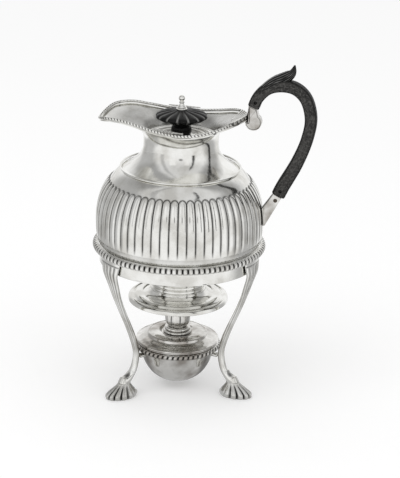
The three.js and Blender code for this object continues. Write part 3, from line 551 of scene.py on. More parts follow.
def dark_wood():
    """Dark carved wood with its grain along the handle, pale specks and patches of wear; darker where the crease
    mark is, painted shade on the handle's bevels and sides
    """
    nodes = Surface("dark_wood")
    along = nodes.attribute("flow", "Vector")
    grain = nodes.noise(along, 260, 6, (0.12, 1, 1))
    fibres = nodes.noise(along, 2200, 4, (0.05, 1, 1))
    wear = nodes.noise(along, 70, 3)
    specks = nodes.noise(along, 900, 5, (0.7, 1, 1))
    stops = [(0.3, (0.006, 0.0058, 0.0055)), (0.5, (0.018, 0.017, 0.016)), (0.7, (0.036, 0.034, 0.032))]
    pale = nodes.ramp(specks, [(0.45, grey(0)), (0.68, grey(0.9))])
    wear_and_edge_shade = nodes.mix(pale, nodes.ramp(grain, stops), (0.1, 0.098, 0.092))
    wear_and_edge_shade = nodes.mix(nodes.spread(wear, 0.0, 0.3), wear_and_edge_shade, (0.04, 0.038, 0.036))
    # the crease mark darkens the bevels and sides: painted shade
    colour = nodes.mix(nodes.crease, wear_and_edge_shade, grey(0.003))
    roughness = nodes.spread(fibres, 0.45, 0.65)
    bump = nodes.bump(fibres, 0.00005, 0.6, Normal=nodes.bump(grain, 0.00012, 0.5))
    return nodes.finished(colour, roughness, bump, Specular_IOR_Level=0.22)


def cotton():
    """Braided cotton, scorched towards its top"""
    nodes = Surface("cotton")
    braid = nodes.noise(nodes.place, 1400, 3, (1, 1, 0.6))
    clean = nodes.ramp(braid, [(0.35, (0.48, 0.42, 0.31)), (0.65, (0.74, 0.69, 0.57))])
    colour = nodes.mix(nodes.crease, clean, (0.06, 0.045, 0.035))
    return nodes.finished(colour, 0.95, nodes.bump(braid, 0.0003, 0.8))


SILVER = silver("silver", (0.66, 0.65, 0.615), (0.8, 0.795, 0.765), (0.88, 0.878, 0.855))
# A darker copy of the silver for the burner and the handle's sockets: painted shade
SHADED_SILVER = silver("shaded_silver", (0.37, 0.345, 0.315), (0.59, 0.577, 0.55), (0.78, 0.77, 0.745))
# Near-black silver for the rivet, standing for a dark recess: painted shade
RECESS_SHADE_SILVER = silver("recess_shade_silver", (0.035, 0.025, 0.018), (0.055, 0.043, 0.033), (0.09, 0.075, 0.06))
EBONY = ebony()
WOOD = dark_wood()
COTTON = cotton()


# Stand

def toothed(profile, first, count, teeth, depth, slant, per_tooth=10):
    """A turned border with teeth across count points of its profile, from the first one on"""
    share = np.zeros((len(profile), 1))
    share[first:first + count, 0] = np.linspace(0, 1, count)
    columns = teeth * per_tooth
    fade = ease(np.minimum(share, 1 - share), 0, 1 / 7)
    u = across_ribs(circle(columns) / TAU * teeth + slant * share)
    relief = -depth * fade * (1 - swell(u))
    return turned(profile, columns, relief=relief, crease=fade * dark_between(u, 0.42, 0.78))


def stand_border():
    outer, low, top = extent("stand_border")
    bore = outer - BORDER_WIDTH
    middle = (low + top) / 2 - 0.28
    wire = 0.62
    foot = rounded([(bore, low, 0.3), (outer - 1.75, low, 0)], closed=False)
    belly = arc((outer - 3, middle), (3, 3.05), -60, 94, 22)
    bead = arc((bore + wire, top - wire), (wire, wire), 0, 180, 9)
    profile = np.vstack([foot, belly, [[bore + 1.3, top - 0.75]], bead])
    part = toothed(profile, len(foot), len(belly), BORDER_TEETH, depth=1.6, slant=0)
    piece("stand_border_gadroons", "stand", "stand_border", part)


def stand_band():
    outer, low, top = extent("stand_band")
    profile = rounded([
        (outer - THICK, low, 0.3), (outer - 0.15, low, 0.4), (outer, low + 0.7, 0.3),
        (outer - 0.2, low + 1.3, 0.3), (outer - 0.2, top - 0.6, 0.3), (outer, top, 0.2),
        (outer - THICK, top, 0.2),
    ])
    piece("stand_girdle", "stand", "stand_band", turned(profile, 240))


def leg_line():
    """Centre radius, height, width and thickness of a leg from its top to its ankle"""
    band, low, top = extent("stand_band")
    outer = band + GAP
    wide, thin = LEG_TOP_WIDTH, LEG_THIN
    waist, height = LEG_WAIST_RADIUS, LEG_WAIST_HEIGHT
    ankle = span("leg_1")[0][2]
    return spline([
        (outer + 1.6, top, wide, 3), (outer + 1.5, top - 6, 0.9 * wide, 2.8),
        (outer + 1.5, low - 0.6, 0.78 * wide, 2.8), (outer - 2.3, top - 24, 0.6 * wide, 3.2),
        (waist + 20, height + 54, 0.43 * wide, 3.8), (waist + 14.7, height + 41, 0.32 * wide, 4.6),
        (waist + 8.6, height + 27, 1.3 * thin, thin - 0.4), (waist + 2.6, height + 11, 1.1 * thin, thin),
        (waist, height, thin, thin), (waist + 0.6, height - 9, 1.1 * thin, thin),
        (waist + 3, height - 17, 1.25 * thin, 1.05 * thin),
        (waist + 7.6, height - 23, 1.5 * thin, 1.2 * thin),
        (FOOT_RADIUS - 3, ankle, 1.7 * thin, 1.9 * thin),
    ], 150)


def leg():
    """Reeded at its wide top, plain and round at its waist, with a scoop and a collar over the foot"""
    line = leg_line()
    share = column(0, 1, len(line))
    across = outward(line[:, :2], closed=False)
    across[0] = across[-1] = (-1, 0)
    turn = circle(120)
    square = 2 / (2.7 - 0.6 * share)
    u = powered(np.cos(turn), square)
    v = powered(np.sin(turn), square)
    front = ease(np.cos(turn), 0, 1 / 3)
    outside = np.cos(turn) > 0
    place = across_ribs((v + 1) / 2 * LEG_REEDS - 0.5)
    reeds = ease(share, 0.8, 0.45) * front * ease(share, 0.05, 0.07)
    top_line = bell(share - 0.045, 0.008) * front
    oval = np.hypot((share - 0.92) / 0.06, np.sin(turn) / 0.8)
    scoop = np.clip(1 - oval**2, 0, 1) * outside
    scoop_edge = bell(oval - 1, 0.16) * outside
    collar = bell(share - 0.985, 0.008)
    sunk = 1.25 * reeds * (1 - swell(place)) + 0.45 * top_line + 1.7 * scoop
    out = u * line[:, 3:] / 2 - sunk + 0.25 * scoop_edge + 0.3 * collar
    r = line[:, :1] - across[:, :1] * out
    z = line[:, 1:2] - across[:, 1:] * out
    angle = v * line[:, 2:3] / 2 / line[:, :1]
    crease = np.clip(0.85 * reeds * dark_between(place, 0.5, 0.95) + 0.8 * top_line + 0.9 * scoop, 0, 1)
    return skin(around(r, angle, z), crease=crease)


def shell_foot():
    """Fan of ribs from the ankle out to a scalloped edge, with a rolled heel"""
    height = span("shell_foot_1")[1][2]
    profile = spline([
        (0.93, 0, 0), (0.985, 0.9, 0), (1, 2.6, 0), (0.97, 4.4, 0.1), (0.87, 6.2, 0.6), (0.7, 8.3, 1.3),
        (0.55, 10.3, 2.1), (0.45, 11.9, 2.7), (0.43, height - 0.3, 3), (0.4, height, 3),
    ], 40)
    size, z, back = profile[:, :1], profile[:, 1:2], profile[:, 2:]
    count = 288
    turn = circle(count) + TAU / count / 2
    place = (turn + np.pi) % TAU - np.pi
    spread = np.radians(125)
    front = ease(np.abs(place), spread, spread - 0.18)
    rib = across_ribs(place / (2 * spread) * FOOT_RIBS)
    crest = swell(rib)
    fan = ease(size, 0.42, 0.62) * front
    bulb = 0.03 * bell(size - 1, 0.05) * front * crest
    scale = size * (1 - 0.2 * fan * (1 - crest)) * (0.985 + bulb)
    x = FOOT_RADIUS - back + FOOT_LENGTH / 2 * scale * np.cos(turn)
    y = FOOT_WIDTH / 2 * scale * np.sin(turn) * (1 - 0.12 * np.cos(turn))
    # 0.18 darkens the whole foot a little, a painted shade; the rest darkens the creases between the ribs
    crease = np.clip(0.18 + 0.8 * fan * dark_between(rib, 0.45, 0.9), 0, 1)
    shell = skin(joined(x, y, z), crease=crease)
    half = [(0.4, -4.6, 0), (2.7, -4.6, 0.5), (2.9, -3.6, 0.4), (2.2, -2.9, 0.4)]
    roll = rounded(half + [(r, -y, reach) for r, y, reach in reversed(half)])
    return [shell, turned_about_y(roll, FOOT_RADIUS - FOOT_LENGTH / 2 + 3.2, 3.2, 48)]


def bracket():
    ring, low, _ = extent("burner_ring")
    inner = ring - 4.4
    outer = LEG_WAIST_RADIUS - LEG_THIN / 2 - GAP
    top = low - GAP
    under = top - 2.4
    outline = rounded([(inner, under, 0.8), (outer, under, 0.3), (outer, top, 0.3), (inner, top, 0.5)])
    return plate(outline, 6, edge=0.6)


def stand():
    stand_border()
    stand_band()
    for i in range(LEG_COUNT):
        angle = LEG_TURN - TAU * i / LEG_COUNT
        number = i + 1
        foot = [rotated(part, angle) for part in shell_foot()]
        piece(f"leg_{number}_reeded", "stand", f"leg_{number}", rotated(leg(), angle))
        piece(f"shell_foot_{number}_fan", "stand", f"shell_foot_{number}", *foot)
        piece(f"burner_bracket_{number}_arm", "stand", f"burner_bracket_{number}", rotated(bracket(), angle))


# Jug

def belly_radius(z):
    half = np.where(z > BELLY_Z, BELLY_ABOVE, BELLY_BELOW)
    return BELLY_RADIUS * (1 - np.abs((z - BELLY_Z) / half) ** BELLY_POWER) ** (1 / BELLY_POWER)


def neck_radius(z):
    return NECK_RADIUS + (NECK_FOOT_RADIUS - NECK_RADIUS) * ((NECK_Z - z) / NECK_HEIGHT) ** NECK_POWER


def rim_curve():
    """The rim all round, in the order of its directions from the jug's axis"""
    tip, spout = NECK_Z + RIM_SPOUT_TIP, NECK_Z + RIM_SPOUT
    side, rear = NECK_Z + RIM_SIDE, NECK_Z + RIM_REAR

    def between(a, b, share):
        return a + (b - a) * share

    half = [
        (-0.985 * SPOUT_REACH, 0.21, between(tip, spout, 0.22)),
        (-0.89 * SPOUT_REACH, 0.58, between(tip, spout, 0.84)), (-0.7 * SPOUT_REACH, 0.73, spout),
        (-0.48 * SPOUT_REACH, 0.81, between(side, spout, 0.69)),
        (-0.2 * SPOUT_REACH, 0.92, between(side, spout, 0.19)), (0.14 * REAR_REACH, 1, side),
        (0.45 * REAR_REACH, 0.93, between(side, rear, 0.21)),
        (0.73 * REAR_REACH, 0.69, between(side, rear, 0.66)),
        (0.92 * REAR_REACH, 0.33, between(side, rear, 0.93)),
    ]
    half = [(x, share * MOUTH_HALF, z) for x, share, z in half]
    mirrored = [(x, -y, z) for x, y, z in reversed(half)]
    line = spline([(-SPOUT_REACH, 0, tip), *half, (REAR_REACH, 0, rear), *mirrored], 1440, closed=True)
    return line[np.argsort(np.arctan2(line[:, 1], line[:, 0]))]


RIM = rim_curve()
RIM_RADII = np.hypot(RIM[:, 0], RIM[:, 1])
RIM_TURNS = np.arctan2(RIM[:, 1], RIM[:, 0])


def rim_at(angle):
    """Radius and height of the rim in a direction from the jug's axis"""
    return [np.interp(angle, RIM_TURNS, values, period=TAU) for values in (RIM_RADII, RIM[:, 2])]


def mouth_point(angle, share):
    """Outer surface of the mouth: share 0 is the narrowest line of the neck, 1 is under the rim's border"""
    r, z = rim_at(angle)
    top = z - RIM_BEAD - GAP - WALL
    power = np.maximum(2.2 + 0.1 * (r - MOUTH_HALF), 1.2)
    return NECK_RADIUS + (r - NECK_RADIUS) * share**power, NECK_Z + (top - NECK_Z) * share


def mouth_inside(angle, share):
    r0, z0 = mouth_point(angle, np.maximum(share - 0.02, 0))
    r1, z1 = mouth_point(angle, share + 0.02)
    r, z = mouth_point(angle, share)
    length = np.hypot(r1 - r0, z1 - z0)
    return r - WALL * (z1 - z0) / length, z + WALL * (r1 - r0) / length


def lobe_columns():
    """Directions that crowd into the creases between the lobes"""
    steps = np.array([-1, -0.95, -0.87, -0.7, -0.45, -0.16, 0.16, 0.45, 0.7, 0.87, 0.95])
    return ((np.arange(LOBES)[:, None] + steps / 2) * TAU / LOBES).ravel()


def lobe_relief(angle, z, radius):
    """Height and darkness in the belt of lobes, whose tops are round arches and whose lower ends fade"""
    u = across_ribs(angle * LOBES / TAU)
    half = np.pi * radius / LOBES
    reach = np.hypot(u, np.maximum(z - (LOBE_TOP - half), 0) / half)
    away = np.maximum(reach - 1, 0) * half
    depth = np.where(reach < 1, 1 - swell(reach, 2, 0.5), bell(np.maximum(z - LOBE_TOP, 0), 5))
    fade = ease(z, LOBE_FOOT, LOBE_FOOT + 7) ** 0.8
    dark = np.where(reach < 1, dark_between(reach, 0.66, 0.96), bell(away, 0.5))
    return -LOBE_DEPTH * depth * fade, 0.9 * dark * fade


def jug_body():
    """Rings from the middle of the bottom up to the rim outside, then back down inside"""
    angle = lobe_columns()
    low = span("jug_body")[0][2]
    # the inside of the mouth and the neck is painted darker: painted shade
    inside_shade = 0.42
    bands = []

    def band(r, z, dark=0.0):
        """Rings at radii and heights that are given one to a row"""
        points = around(r, angle, z)
        bands.append((points, np.broadcast_to(dark, points.shape[:2])))

    def turn_below(drop):
        """Turn of the belly's curve at a depth under its middle"""
        return math.asin((drop / BELLY_BELOW) ** (BELLY_POWER / 2))

    lowest = turn_below(BELLY_Z - low)
    base = belly_radius(low)
    band(np.array([[0.02], [0.7]]) * base, low)
    z = BELLY_Z - BELLY_BELOW * np.sin(column(lowest, turn_below(LOBE_BELOW), 26)) ** (2 / BELLY_POWER)
    lines = 0.28 * (bell(z - (LOBE_FOOT - 2.4), 0.45) + bell(z - (LOBE_FOOT - 4.6), 0.45))
    band(belly_radius(z) + lines - 0.28, z, 0.17)
    z = np.vstack([
        column(LOBE_FOOT + 0.4, LOBE_TOP - 5, 44), column(LOBE_TOP - 4.8, LOBE_TOP + 0.9, 40),
        column(LOBE_TOP + 1.2, SHOULDER_Z, 26),
    ])
    lift, dark = lobe_relief(angle, z, belly_radius(z))
    slope = np.where(z < SHOULDER_Z - 0.1, (belly_radius(z + 0.1) - belly_radius(z - 0.1)) / 0.2, -1)
    upright = 1 / np.sqrt(1 + slope**2)
    band(belly_radius(z) + lift * upright, z - lift * upright * slope, dark)
    share = np.vstack([[[0.015]], column(0.05, 1, 20)])
    z = SHOULDER_Z + NECK_HEIGHT * share
    band(neck_radius(z) - 0.12 * bell(share - 0.52, 0.02), z)
    band(*mouth_point(angle, column(0.06, 1, 26)))
    share = column(1, 0.06, 26)
    band(*mouth_inside(angle, share), inside_shade * ease(share, 1, 0.88))
    share = column(1, 0.02, 12)
    z = SHOULDER_Z + NECK_HEIGHT * share
    band(neck_radius(z) - WALL, z - WALL * share, inside_shade)
    inner = LOBE_DEPTH + 0.6
    highest = math.asin(0.72 ** (BELLY_POWER / 2))
    z = BELLY_Z + BELLY_ABOVE * np.sin(column(highest, 0, 16)) ** (2 / BELLY_POWER)
    band(belly_radius(z) - inner, z - WALL)
    turn = column(0.1, lowest, 16)
    z = BELLY_Z - BELLY_BELOW * np.sin(turn) ** (2 / BELLY_POWER)
    band(belly_radius(z) - inner, z + WALL * np.sin(turn))
    band(np.array([[0.02]]) * base, low + WALL)
    rings, creases = (np.vstack(rows) for rows in zip(*bands))
    piece("jug_lobed_body", "jug", "jug_body", skin(rings, crease=creases), sharp=60)


def neck_wire():
    outer, low, top = extent("jug_neck_wire")
    radius = (top - low) / 2
    profile = arc((outer - 1.3 * radius, low + 0.9 * radius), (0.9 * radius, 0.9 * radius), 0, 330, 12)
    piece("jug_neck_moulding", "jug", "jug_neck_wire", turned(profile, 240))


def jug_foot():
    """Brim, stem with mouldings, and flange"""
    brim, low, top = extent("jug_foot")
    tall = top - low
    corners = [
        (0, 0.2, 0.3), (0, 3.2, 1.6), (2.6, 4.9, 1.2), (4.6, 3.9, 0.5), (5.4, 4.4, 0.3), (7.4, 6.2, 1.4),
        (11.2, 6.1, 1.4), (13.6, 5.3, 0.5), (17.6, 6.6, 2.2), (20.2, 10.2, 1.2), (19.9, 11.2, 0.5),
        (20.8, 12.2, 0.4), (21.2, 12.4, 0.3), (21.2, 14.3, 0.3), (20.6, 14.9, 0.4), (21.3, 15.6, 0.3),
        (21.6, 15.8, 0.2), (21.6, 17.6, 0.3), (21, 18.2, 0.4), (21.7, 18.9, 0.3), (21.6, 20.8, 0.5),
        (20.7, 21.3, 0.4), (20.7, 22.4, 0.4), (19.5, 23.2, 0.4), (17.2, tall, 0.3), (21.3, tall, 0.3),
        (22.9, 20.8, 1), (22.9, 13.2, 2), (19.7, 6.2, 2), (14.8, 4.2, 2), (THICK, 2.9, 0.5),
        (THICK, 0, 0.3), (0.4, 0, 0.3),
    ]
    profile = rounded(inside(brim, low, corners), 5)
    piece("jug_spool_foot", "jug", "jug_foot", turned(profile, 240))


def rim_frame(angles):
    """Centre, outward and upward directions along the rim"""
    step = 0.012

    def point(turn):
        r, z = rim_at(turn)
        return around(r, turn, z)

    along = unit(point(angles + step) - point(angles - step))
    out = unit(np.cross(along, [0, 0, 1]))
    return point(angles), out, np.cross(out, along)


def rim_beads():
    """How many beads the border has, and directions spaced evenly along it, twelve to a bead"""
    fine = np.linspace(SHELL_HALF_ANGLE, TAU - SHELL_HALF_ANGLE, 4000)
    r, z = rim_at(fine)
    length = distances(around(r, fine, z))
    beads = round(length[-1] / RIM_PITCH)
    return beads, np.interp(np.linspace(0, length[-1], beads * 12 + 1), length, fine)


def beside(centre, out, up, across, above):
    """Rings of points that lie outward and upward of the points of a line"""
    return centre[:, None] + out[:, None] * across[..., None] + up[:, None] * above[..., None]


def tube(centre, out, up, wide, tall, count):
    """Rings round a line, from half their width and half their height"""
    turn = circle(count)
    return beside(centre, out, up, wide * np.cos(turn), tall * np.sin(turn))


def rim_border():
    """A row of beads along the outer edge of the rim, a plain wire inside it and a flat one under it"""
    beads, angles = rim_beads()
    centre, out, up = rim_frame(angles)
    place = column(0, beads, len(angles))
    u = across_ribs(place - 0.5 + 0.18 * np.sin(circle(20)))
    size = 0.86 * (0.5 + 0.5 * swell(u, 2, 0.5))
    row = skin(tube(centre + 0.45 * out, out, up, size, 1.35 * size, 20), crease=dark_between(u, 0.5, 0.85))
    flat = np.ones((1, 1))
    wire = skin(tube(centre - 0.75 * out + 0.1 * up, out, up, 0.5 * flat, 0.5 * flat, 14))
    under = skin(tube(centre - 0.95 * up, out, up, 1.25 * flat, 0.5 * flat, 14))
    piece("jug_rim_beading", "jug", "jug_rim_border", row, wire, under)


def mouth_floor(angles, radii):
    """Height of the mouth's inner surface in each direction, at a radius"""
    r, z = mouth_inside(angles, column(0.3, 1, 200))
    return np.array([np.interp(radius, r[:, i], z[:, i]) for i, radius in enumerate(radii)])


def rear_shell():
    """Ribbed fan over the rear of the rim, narrow at its root inside the mouth, with a curled edge"""
    across = np.linspace(-1, 1, 16 * SHELL_RIBS + 1)
    rib = across_ribs((across + 1) / 2 * SHELL_RIBS - 0.5)
    crest = swell(rib)
    top, under, dark = [], [], []
    for out in np.linspace(0, 1, 26):
        angle = (SHELL_HALF_ANGLE - math.radians(1)) * across * (0.4 + 0.6 * out)
        scallop = 0.9 * ease(out, 0.8, 1)
        edge = rim_at(angle)[0] + 1.2 * np.abs(across) - 0.1 - scallop * (1 - crest)
        r = edge - SHELL_LENGTH * (1 - out)
        floor = mouth_floor(angle, r) + GAP
        roll = math.sqrt(1 - ease(out, 0.86, 1) ** 2)
        lift = 1.4 + 2 * out**2 + 0.5 * out + (0.6 + 1.3 * out) * (crest - 1)
        top.append(around(r, angle, floor + np.maximum(lift * (0.25 + 0.75 * roll), 0.3)))
        under.append(around(r, angle, floor)[::-1])
        dark.append(np.concatenate([dark_between(rib, 0.45, 0.85) * min(1, 0.5 + out), 0 * crest]))
    rings = np.concatenate([np.array(top), np.array(under)], axis=1)
    piece("jug_rear_shell_fan", "jug", "jug_rear_shell", skin(rings, crease=np.array(dark)), sharp=70)


def rim_leaf(side, name):
    """Pointed leaf with a midrib and side veins, laid along the border"""
    middle = side * LEAF_TURN
    angles = np.linspace(middle - LEAF_HALF_ANGLE, middle + LEAF_HALF_ANGLE, 90)
    centre, out, up = rim_frame(angles)
    share = column(0, 1, len(angles))
    full = np.sin(np.pi * share)
    width = LEAF_WIDTH / 2 * (0.12 + 0.88 * full**0.75) * (1 - 0.1 * np.abs(np.sin(9 * np.pi * share)))
    u = np.concatenate([np.linspace(-1, 1, 25), np.linspace(1, -1, 9)[1:-1]])
    over = np.concatenate([np.ones(25), np.zeros(7)])
    swollen = 0.25 + 0.75 * full
    midrib = bell(u, 0.1)
    veins = 0.5 + 0.5 * np.cos(TAU * (9 * share - 1.6 * np.abs(u)))
    hollows = (1 - veins) * (1 - midrib)
    lift = over * (0.35 + swollen * (0.85 * (1 - u**2) - 0.3 * hollows) + 0.15 * midrib)
    rings = beside(centre, out, up, u * width, RIM_BEAD + GAP + lift)
    crease = over * 0.8 * np.clip(1 - 2 * veins, 0, 1) * (1 - midrib)
    piece(f"{name}_veined", "jug", name, skin(rings, crease=crease))


def lid_bearer():
    outer, low, top = extent("lid_bearer_ring")
    inner = outer - 2.7
    profile = rounded([(inner, top - 0.8, 0.3), (outer, low, 0.2), (outer, top, 0.2), (inner, top, 0.3)])
    piece("lid_seat_ring", "jug", "lid_bearer_ring", turned(profile, 144))


def pin(node, name, body="jug", bore=0.02, soft=0.35, columns=32, sink=0.0, grow=1.0, **look):
    """A pin or a knuckle along Y with softened ends, sunk a little at each end or standing proud"""
    low, high = span(node)
    radius = grow * (high[2] - low[2]) / 2
    start, end = low[1] + sink, high[1] - sink
    profile = rounded([(bore, start, 0), (radius, start, soft), (radius, end, soft), (bore, end, 0)])
    part = turned_about_y(profile, (low[0] + high[0]) / 2, (low[2] + high[2]) / 2, columns)
    piece(f"{node}_{name}", body, node, part, **look)


# Lid

def lid():
    edge, low, top = extent("lid")
    bore = STUD_RADIUS + GAP
    moulding = [
        (0, -0.1, 0.3), (1, 0, 0.4), (1.9, -0.1, 0.3), (2.2, -0.55, 0.2), (2.9, -0.55, 0.2),
        (3.2, -0.2, 0.3), (3.9, -0.2, 0.3), (4.4, -0.6, 0.3), (9, -0.7, 0.6), (9.3, -0.4, 0.2),
        (10.1, -0.4, 0.2), (10.5, -0.65, 0.3),
    ]
    profile = rounded([
        (bore, low, 0), (edge - 1.5, low, 0.4), (edge, low + 0.4, 0.2), *inside(edge, top, moulding),
        (16, top - 0.6, 2), (11.2, top - 0.15, 1), (10, top, 0.4), (bore, top, 0),
    ])
    piece("lid_moulded_plate", "lid", "lid", turned(profile, 180))


def fluted(profile, count, per_flute, over, depth, start, dark=1.0, closed=True):
    """A turned body with convex flutes where over is 1; their grooves carry the crease mark from start on, dark
    on the silver and a painted highlight on the ebony
    """
    columns = count * per_flute
    u = across_ribs(circle(columns) / TAU * count)
    over = over[:, None]
    crease = dark * over * dark_between(u, start, 0.97)
    relief = -depth * over * (1 - swell(u, 2, 0.55))
    return turned(profile, columns, closed, relief, crease)


def finial():
    """Mushroom with a bulb below and convex flutes over its dome"""
    outer, low, top = extent("finial")
    bore = STUD_RADIUS + GAP
    shape = spline([
        (0.36, 0), (0.395, 0.11), (0.385, 0.26), (0.315, 0.4), (0.295, 0.47), (0.4, 0.53), (0.68, 0.54),
        (0.9, 0.61), (1, 0.71), (0.955, 0.805), (0.7, 0.91), (0.36, 0.97), (0.215, 1),
    ], 84)
    profile = np.vstack([[[bore, low]], shape * [outer, top - low] + [0, low], [[bore, top]]])
    reach = np.concatenate([[0], shape[:, 0], [0]])
    share = np.concatenate([[0], shape[:, 1], [1]])
    over = ease(share, 0.53, 0.59) * ease(reach, 0.22, 0.57)
    # the flute grooves are painted light on the ebony: painted highlight
    part = fluted(profile, FINIAL_FLUTES, 16, over, depth=1.6, start=0.78)
    piece("finial_fluted", "lid", "finial", part, material=EBONY, slot="finial_black")


def finial_metal():
    bore = STUD_RADIUS + GAP
    outer, low, top = extent("finial_washer")
    disc = rounded([
        (bore, low, 0), (outer, low, 0.25), (outer, top - 0.5, 0.4), (outer - 1, top, 0.5), (bore, top, 0),
    ])
    piece("finial_washer_disc", "lid", "finial_washer", turned(disc, 96))
    _, low, top = extent("finial_nut")
    tall = top - low
    ball = tall - 2.7
    blind = 4.6
    curve = spline([
        (4, 0), (3.9, 0.35), (3.1, 1.2), (2.3, 2.2), (1.9, 3.5), (1.85, 3.9), (2.35, 4.35), (2.35, 4.9),
        (1.75, 5.35), (1.5, 5.7), (1.9, ball - 1.7), (2.6, ball - 0.8), (2.75, ball), (2.55, ball + 1.1),
        (1.8, ball + 2.1), (0.9, tall - 0.12), (0.03, tall),
    ], 70)
    profile = np.vstack([[[0.03, blind], [bore, blind], [bore, 0]], curve]) + [0, low]
    piece("finial_nut_ball", "lid", "finial_nut", turned(profile, 72, closed=False))
    _, low, top = extent("finial_stud")
    head = low + 1
    profile = rounded([
        (0.03, low, 0), (4, low, 0.2), (4, head, 0.2), (STUD_RADIUS, head, 0), (STUD_RADIUS, top, 0.3),
        (0.03, top, 0),
    ])
    piece("finial_stud_rod", "lid", "finial_stud", turned(profile, 48))


# Handle, in the plane y = 0: its points are x and z

UPPER_END = np.array([REAR_REACH + HANDLE_END_OUT, NECK_Z + HANDLE_END_RISE])
LOWER_END = np.array([BELLY_RADIUS + LOWER_END_OUT, BELLY_Z + LOWER_END_RISE])


def handle_line():
    bend = [(0, 0), (0.07, 0.41), (0.245, 0.85), (0.49, 1), (0.722, 0.893), (0.9, 0.487), (1, -0.35)]
    upper = UPPER_END + np.array(bend) * [HANDLE_REACH, HANDLE_RISE]
    tail = [(0.913, 0.68), (0.607, 0.397), (0.151, 0.106), (0, 0)]
    lower = LOWER_END + np.array(tail) * (UPPER_END - LOWER_END + [HANDLE_REACH, 0])
    return evenly(spline(np.vstack([upper, lower]), 900), 181)


HANDLE = handle_line()
UPPER_ALONG, LOWER_ALONG = unit(np.gradient(HANDLE, axis=0))[[0, -1]]
TENON_WIDTH = 0.55 * HANDLE_WIDTH


def bar(line, widths, thicks, section, relief=0, crease=0):
    """A bar along a line in the plane, from a section with its points between -1 and 1"""
    across = outward(line, closed=False)
    normal = outward(section)
    u = section[:, 0] * widths[:, None] / 2 + normal[:, 0] * relief
    v = section[:, 1] * thicks[:, None] / 2 + normal[:, 1] * relief
    x = line[:, :1] + across[:, :1] * u
    z = line[:, 1:] + across[:, 1:] * u
    return skin(joined(x, v, z), crease=crease, flow=joined(distances(line)[:, None], u, v))


def bevelled_section(bevel=0.72):
    """An eight-sided section with crisp but slightly rounded corners"""
    corner = [(1, bevel), (bevel, 1)]
    half = corner + [(-u, v) for u, v in reversed(corner)]
    corners = half + [(-u, -v) for u, v in half]
    return rounded([(u, v, 0.09) for u, v in reversed(corners)], 3)


def block(start, end, width, thick):
    """A flat bar in the plane between two points"""
    along = (end - start) / np.linalg.norm(end - start)
    side = np.array([along[1], -along[0]]) * width / 2
    return plate([start + side, end + side, end - side, start - side], thick, edge=0.02)


def bore(end, along):
    """Hole for a peg through the wood, inside its end"""
    x, z = end + PIN_INSET * along
    radius = PIN_RADIUS + GAP
    profile = [(0.01, -HANDLE_THICK), (radius, -HANDLE_THICK), (radius, HANDLE_THICK), (0.01, HANDLE_THICK)]
    return turned_about_y(profile, x, z, 32)


def handle():
    share = np.linspace(0, 1, len(HANDLE))
    low = ease(share, 0.5, 1)
    widths = HANDLE_WIDTH + (HANDLE_LOW_WIDTH - HANDLE_WIDTH) * low**2 * (3 - 2 * low)
    thicks = np.full(len(HANDLE), float(HANDLE_THICK))
    soft = 1 - 0.06 * bell(np.minimum(share, 1 - share) * 181, 0.7)
    section = bevelled_section()
    # the bevels and sides are painted darker: painted shade
    wear_and_edge_shade = np.where(np.abs(section[:, 0]) > 0.74, 0.75, 0)
    body = bar(HANDLE, widths * soft, thicks * soft, section, crease=wear_and_edge_shade)
    wood = piece("handle_grip", "jug", "handle", body, material=WOOD, slot="handle_wood", sharp=25)
    cutters = []
    for end, into in ((UPPER_END, UPPER_ALONG), (LOWER_END, -LOWER_ALONG)):
        deep = end + (TENON_LENGTH + GAP) * into
        cutters.append(block(end - 2 * into, deep, TENON_WIDTH + 2 * GAP, TENON_THICK + 2 * GAP))
    drilled(wood, cutters + [bore(UPPER_END, UPPER_ALONG), bore(LOWER_END, -LOWER_ALONG)])


def thumb_leaf():
    """Leaf carved from the wood: it hugs the bend from the socket, then rises to a curled tip"""
    spine = np.array([
        (0.02, 0.1), (0.05, 0.25), (0.143, 0.42), (0.327, 0.593), (0.52, 0.703), (0.643, 0.814), (0.686, 1),
    ])
    line = evenly(spline(UPPER_END + spine * [HANDLE_REACH, LEAF_RISE], 400), 120)
    share = column(0, 1, len(line))
    sizes = spline([
        (0.0, 0.2, 0.3), (0.14, 0.42, 0.86), (0.3, 0.62, 1.01), (0.48, 0.9, 1.0), (0.66, 1, 0.92),
        (0.8, 0.82, 0.7), (0.9, 0.52, 0.44), (0.97, 0.26, 0.24), (1, 0.1, 0.12),
    ], 300)
    widths = THUMB_WIDTH * np.interp(share[:, 0], sizes[:, 0], sizes[:, 1])
    thicks = HANDLE_THICK * np.interp(share[:, 0], sizes[:, 0], sizes[:, 2])
    turn = circle(88)
    section = joined(powered(np.cos(turn), 0.8), -powered(np.sin(turn), 0.8))
    veins = across_ribs(2.6 * section[:, 0] + 1.2 * share)
    carved = ease(share, 0, 0.15) * ease(share, 1, 0.8)
    relief = -0.7 * carved * (1 - swell(veins, 2, 0.7))
    # the vein lines are painted light on the ebony: painted highlight
    part = bar(line, widths, thicks, section, relief=relief, crease=0.75 * carved * bell(veins, 0.16))
    piece("handle_thumb_leaf", "jug", "handle", part, material=EBONY, slot="handle_wood", sharp=50)


def tenon(end, into):
    """Tongue of a socket inside the wood"""
    return block(end - (GAP + 0.5) * into, end + TENON_LENGTH * into, TENON_WIDTH, TENON_THICK)


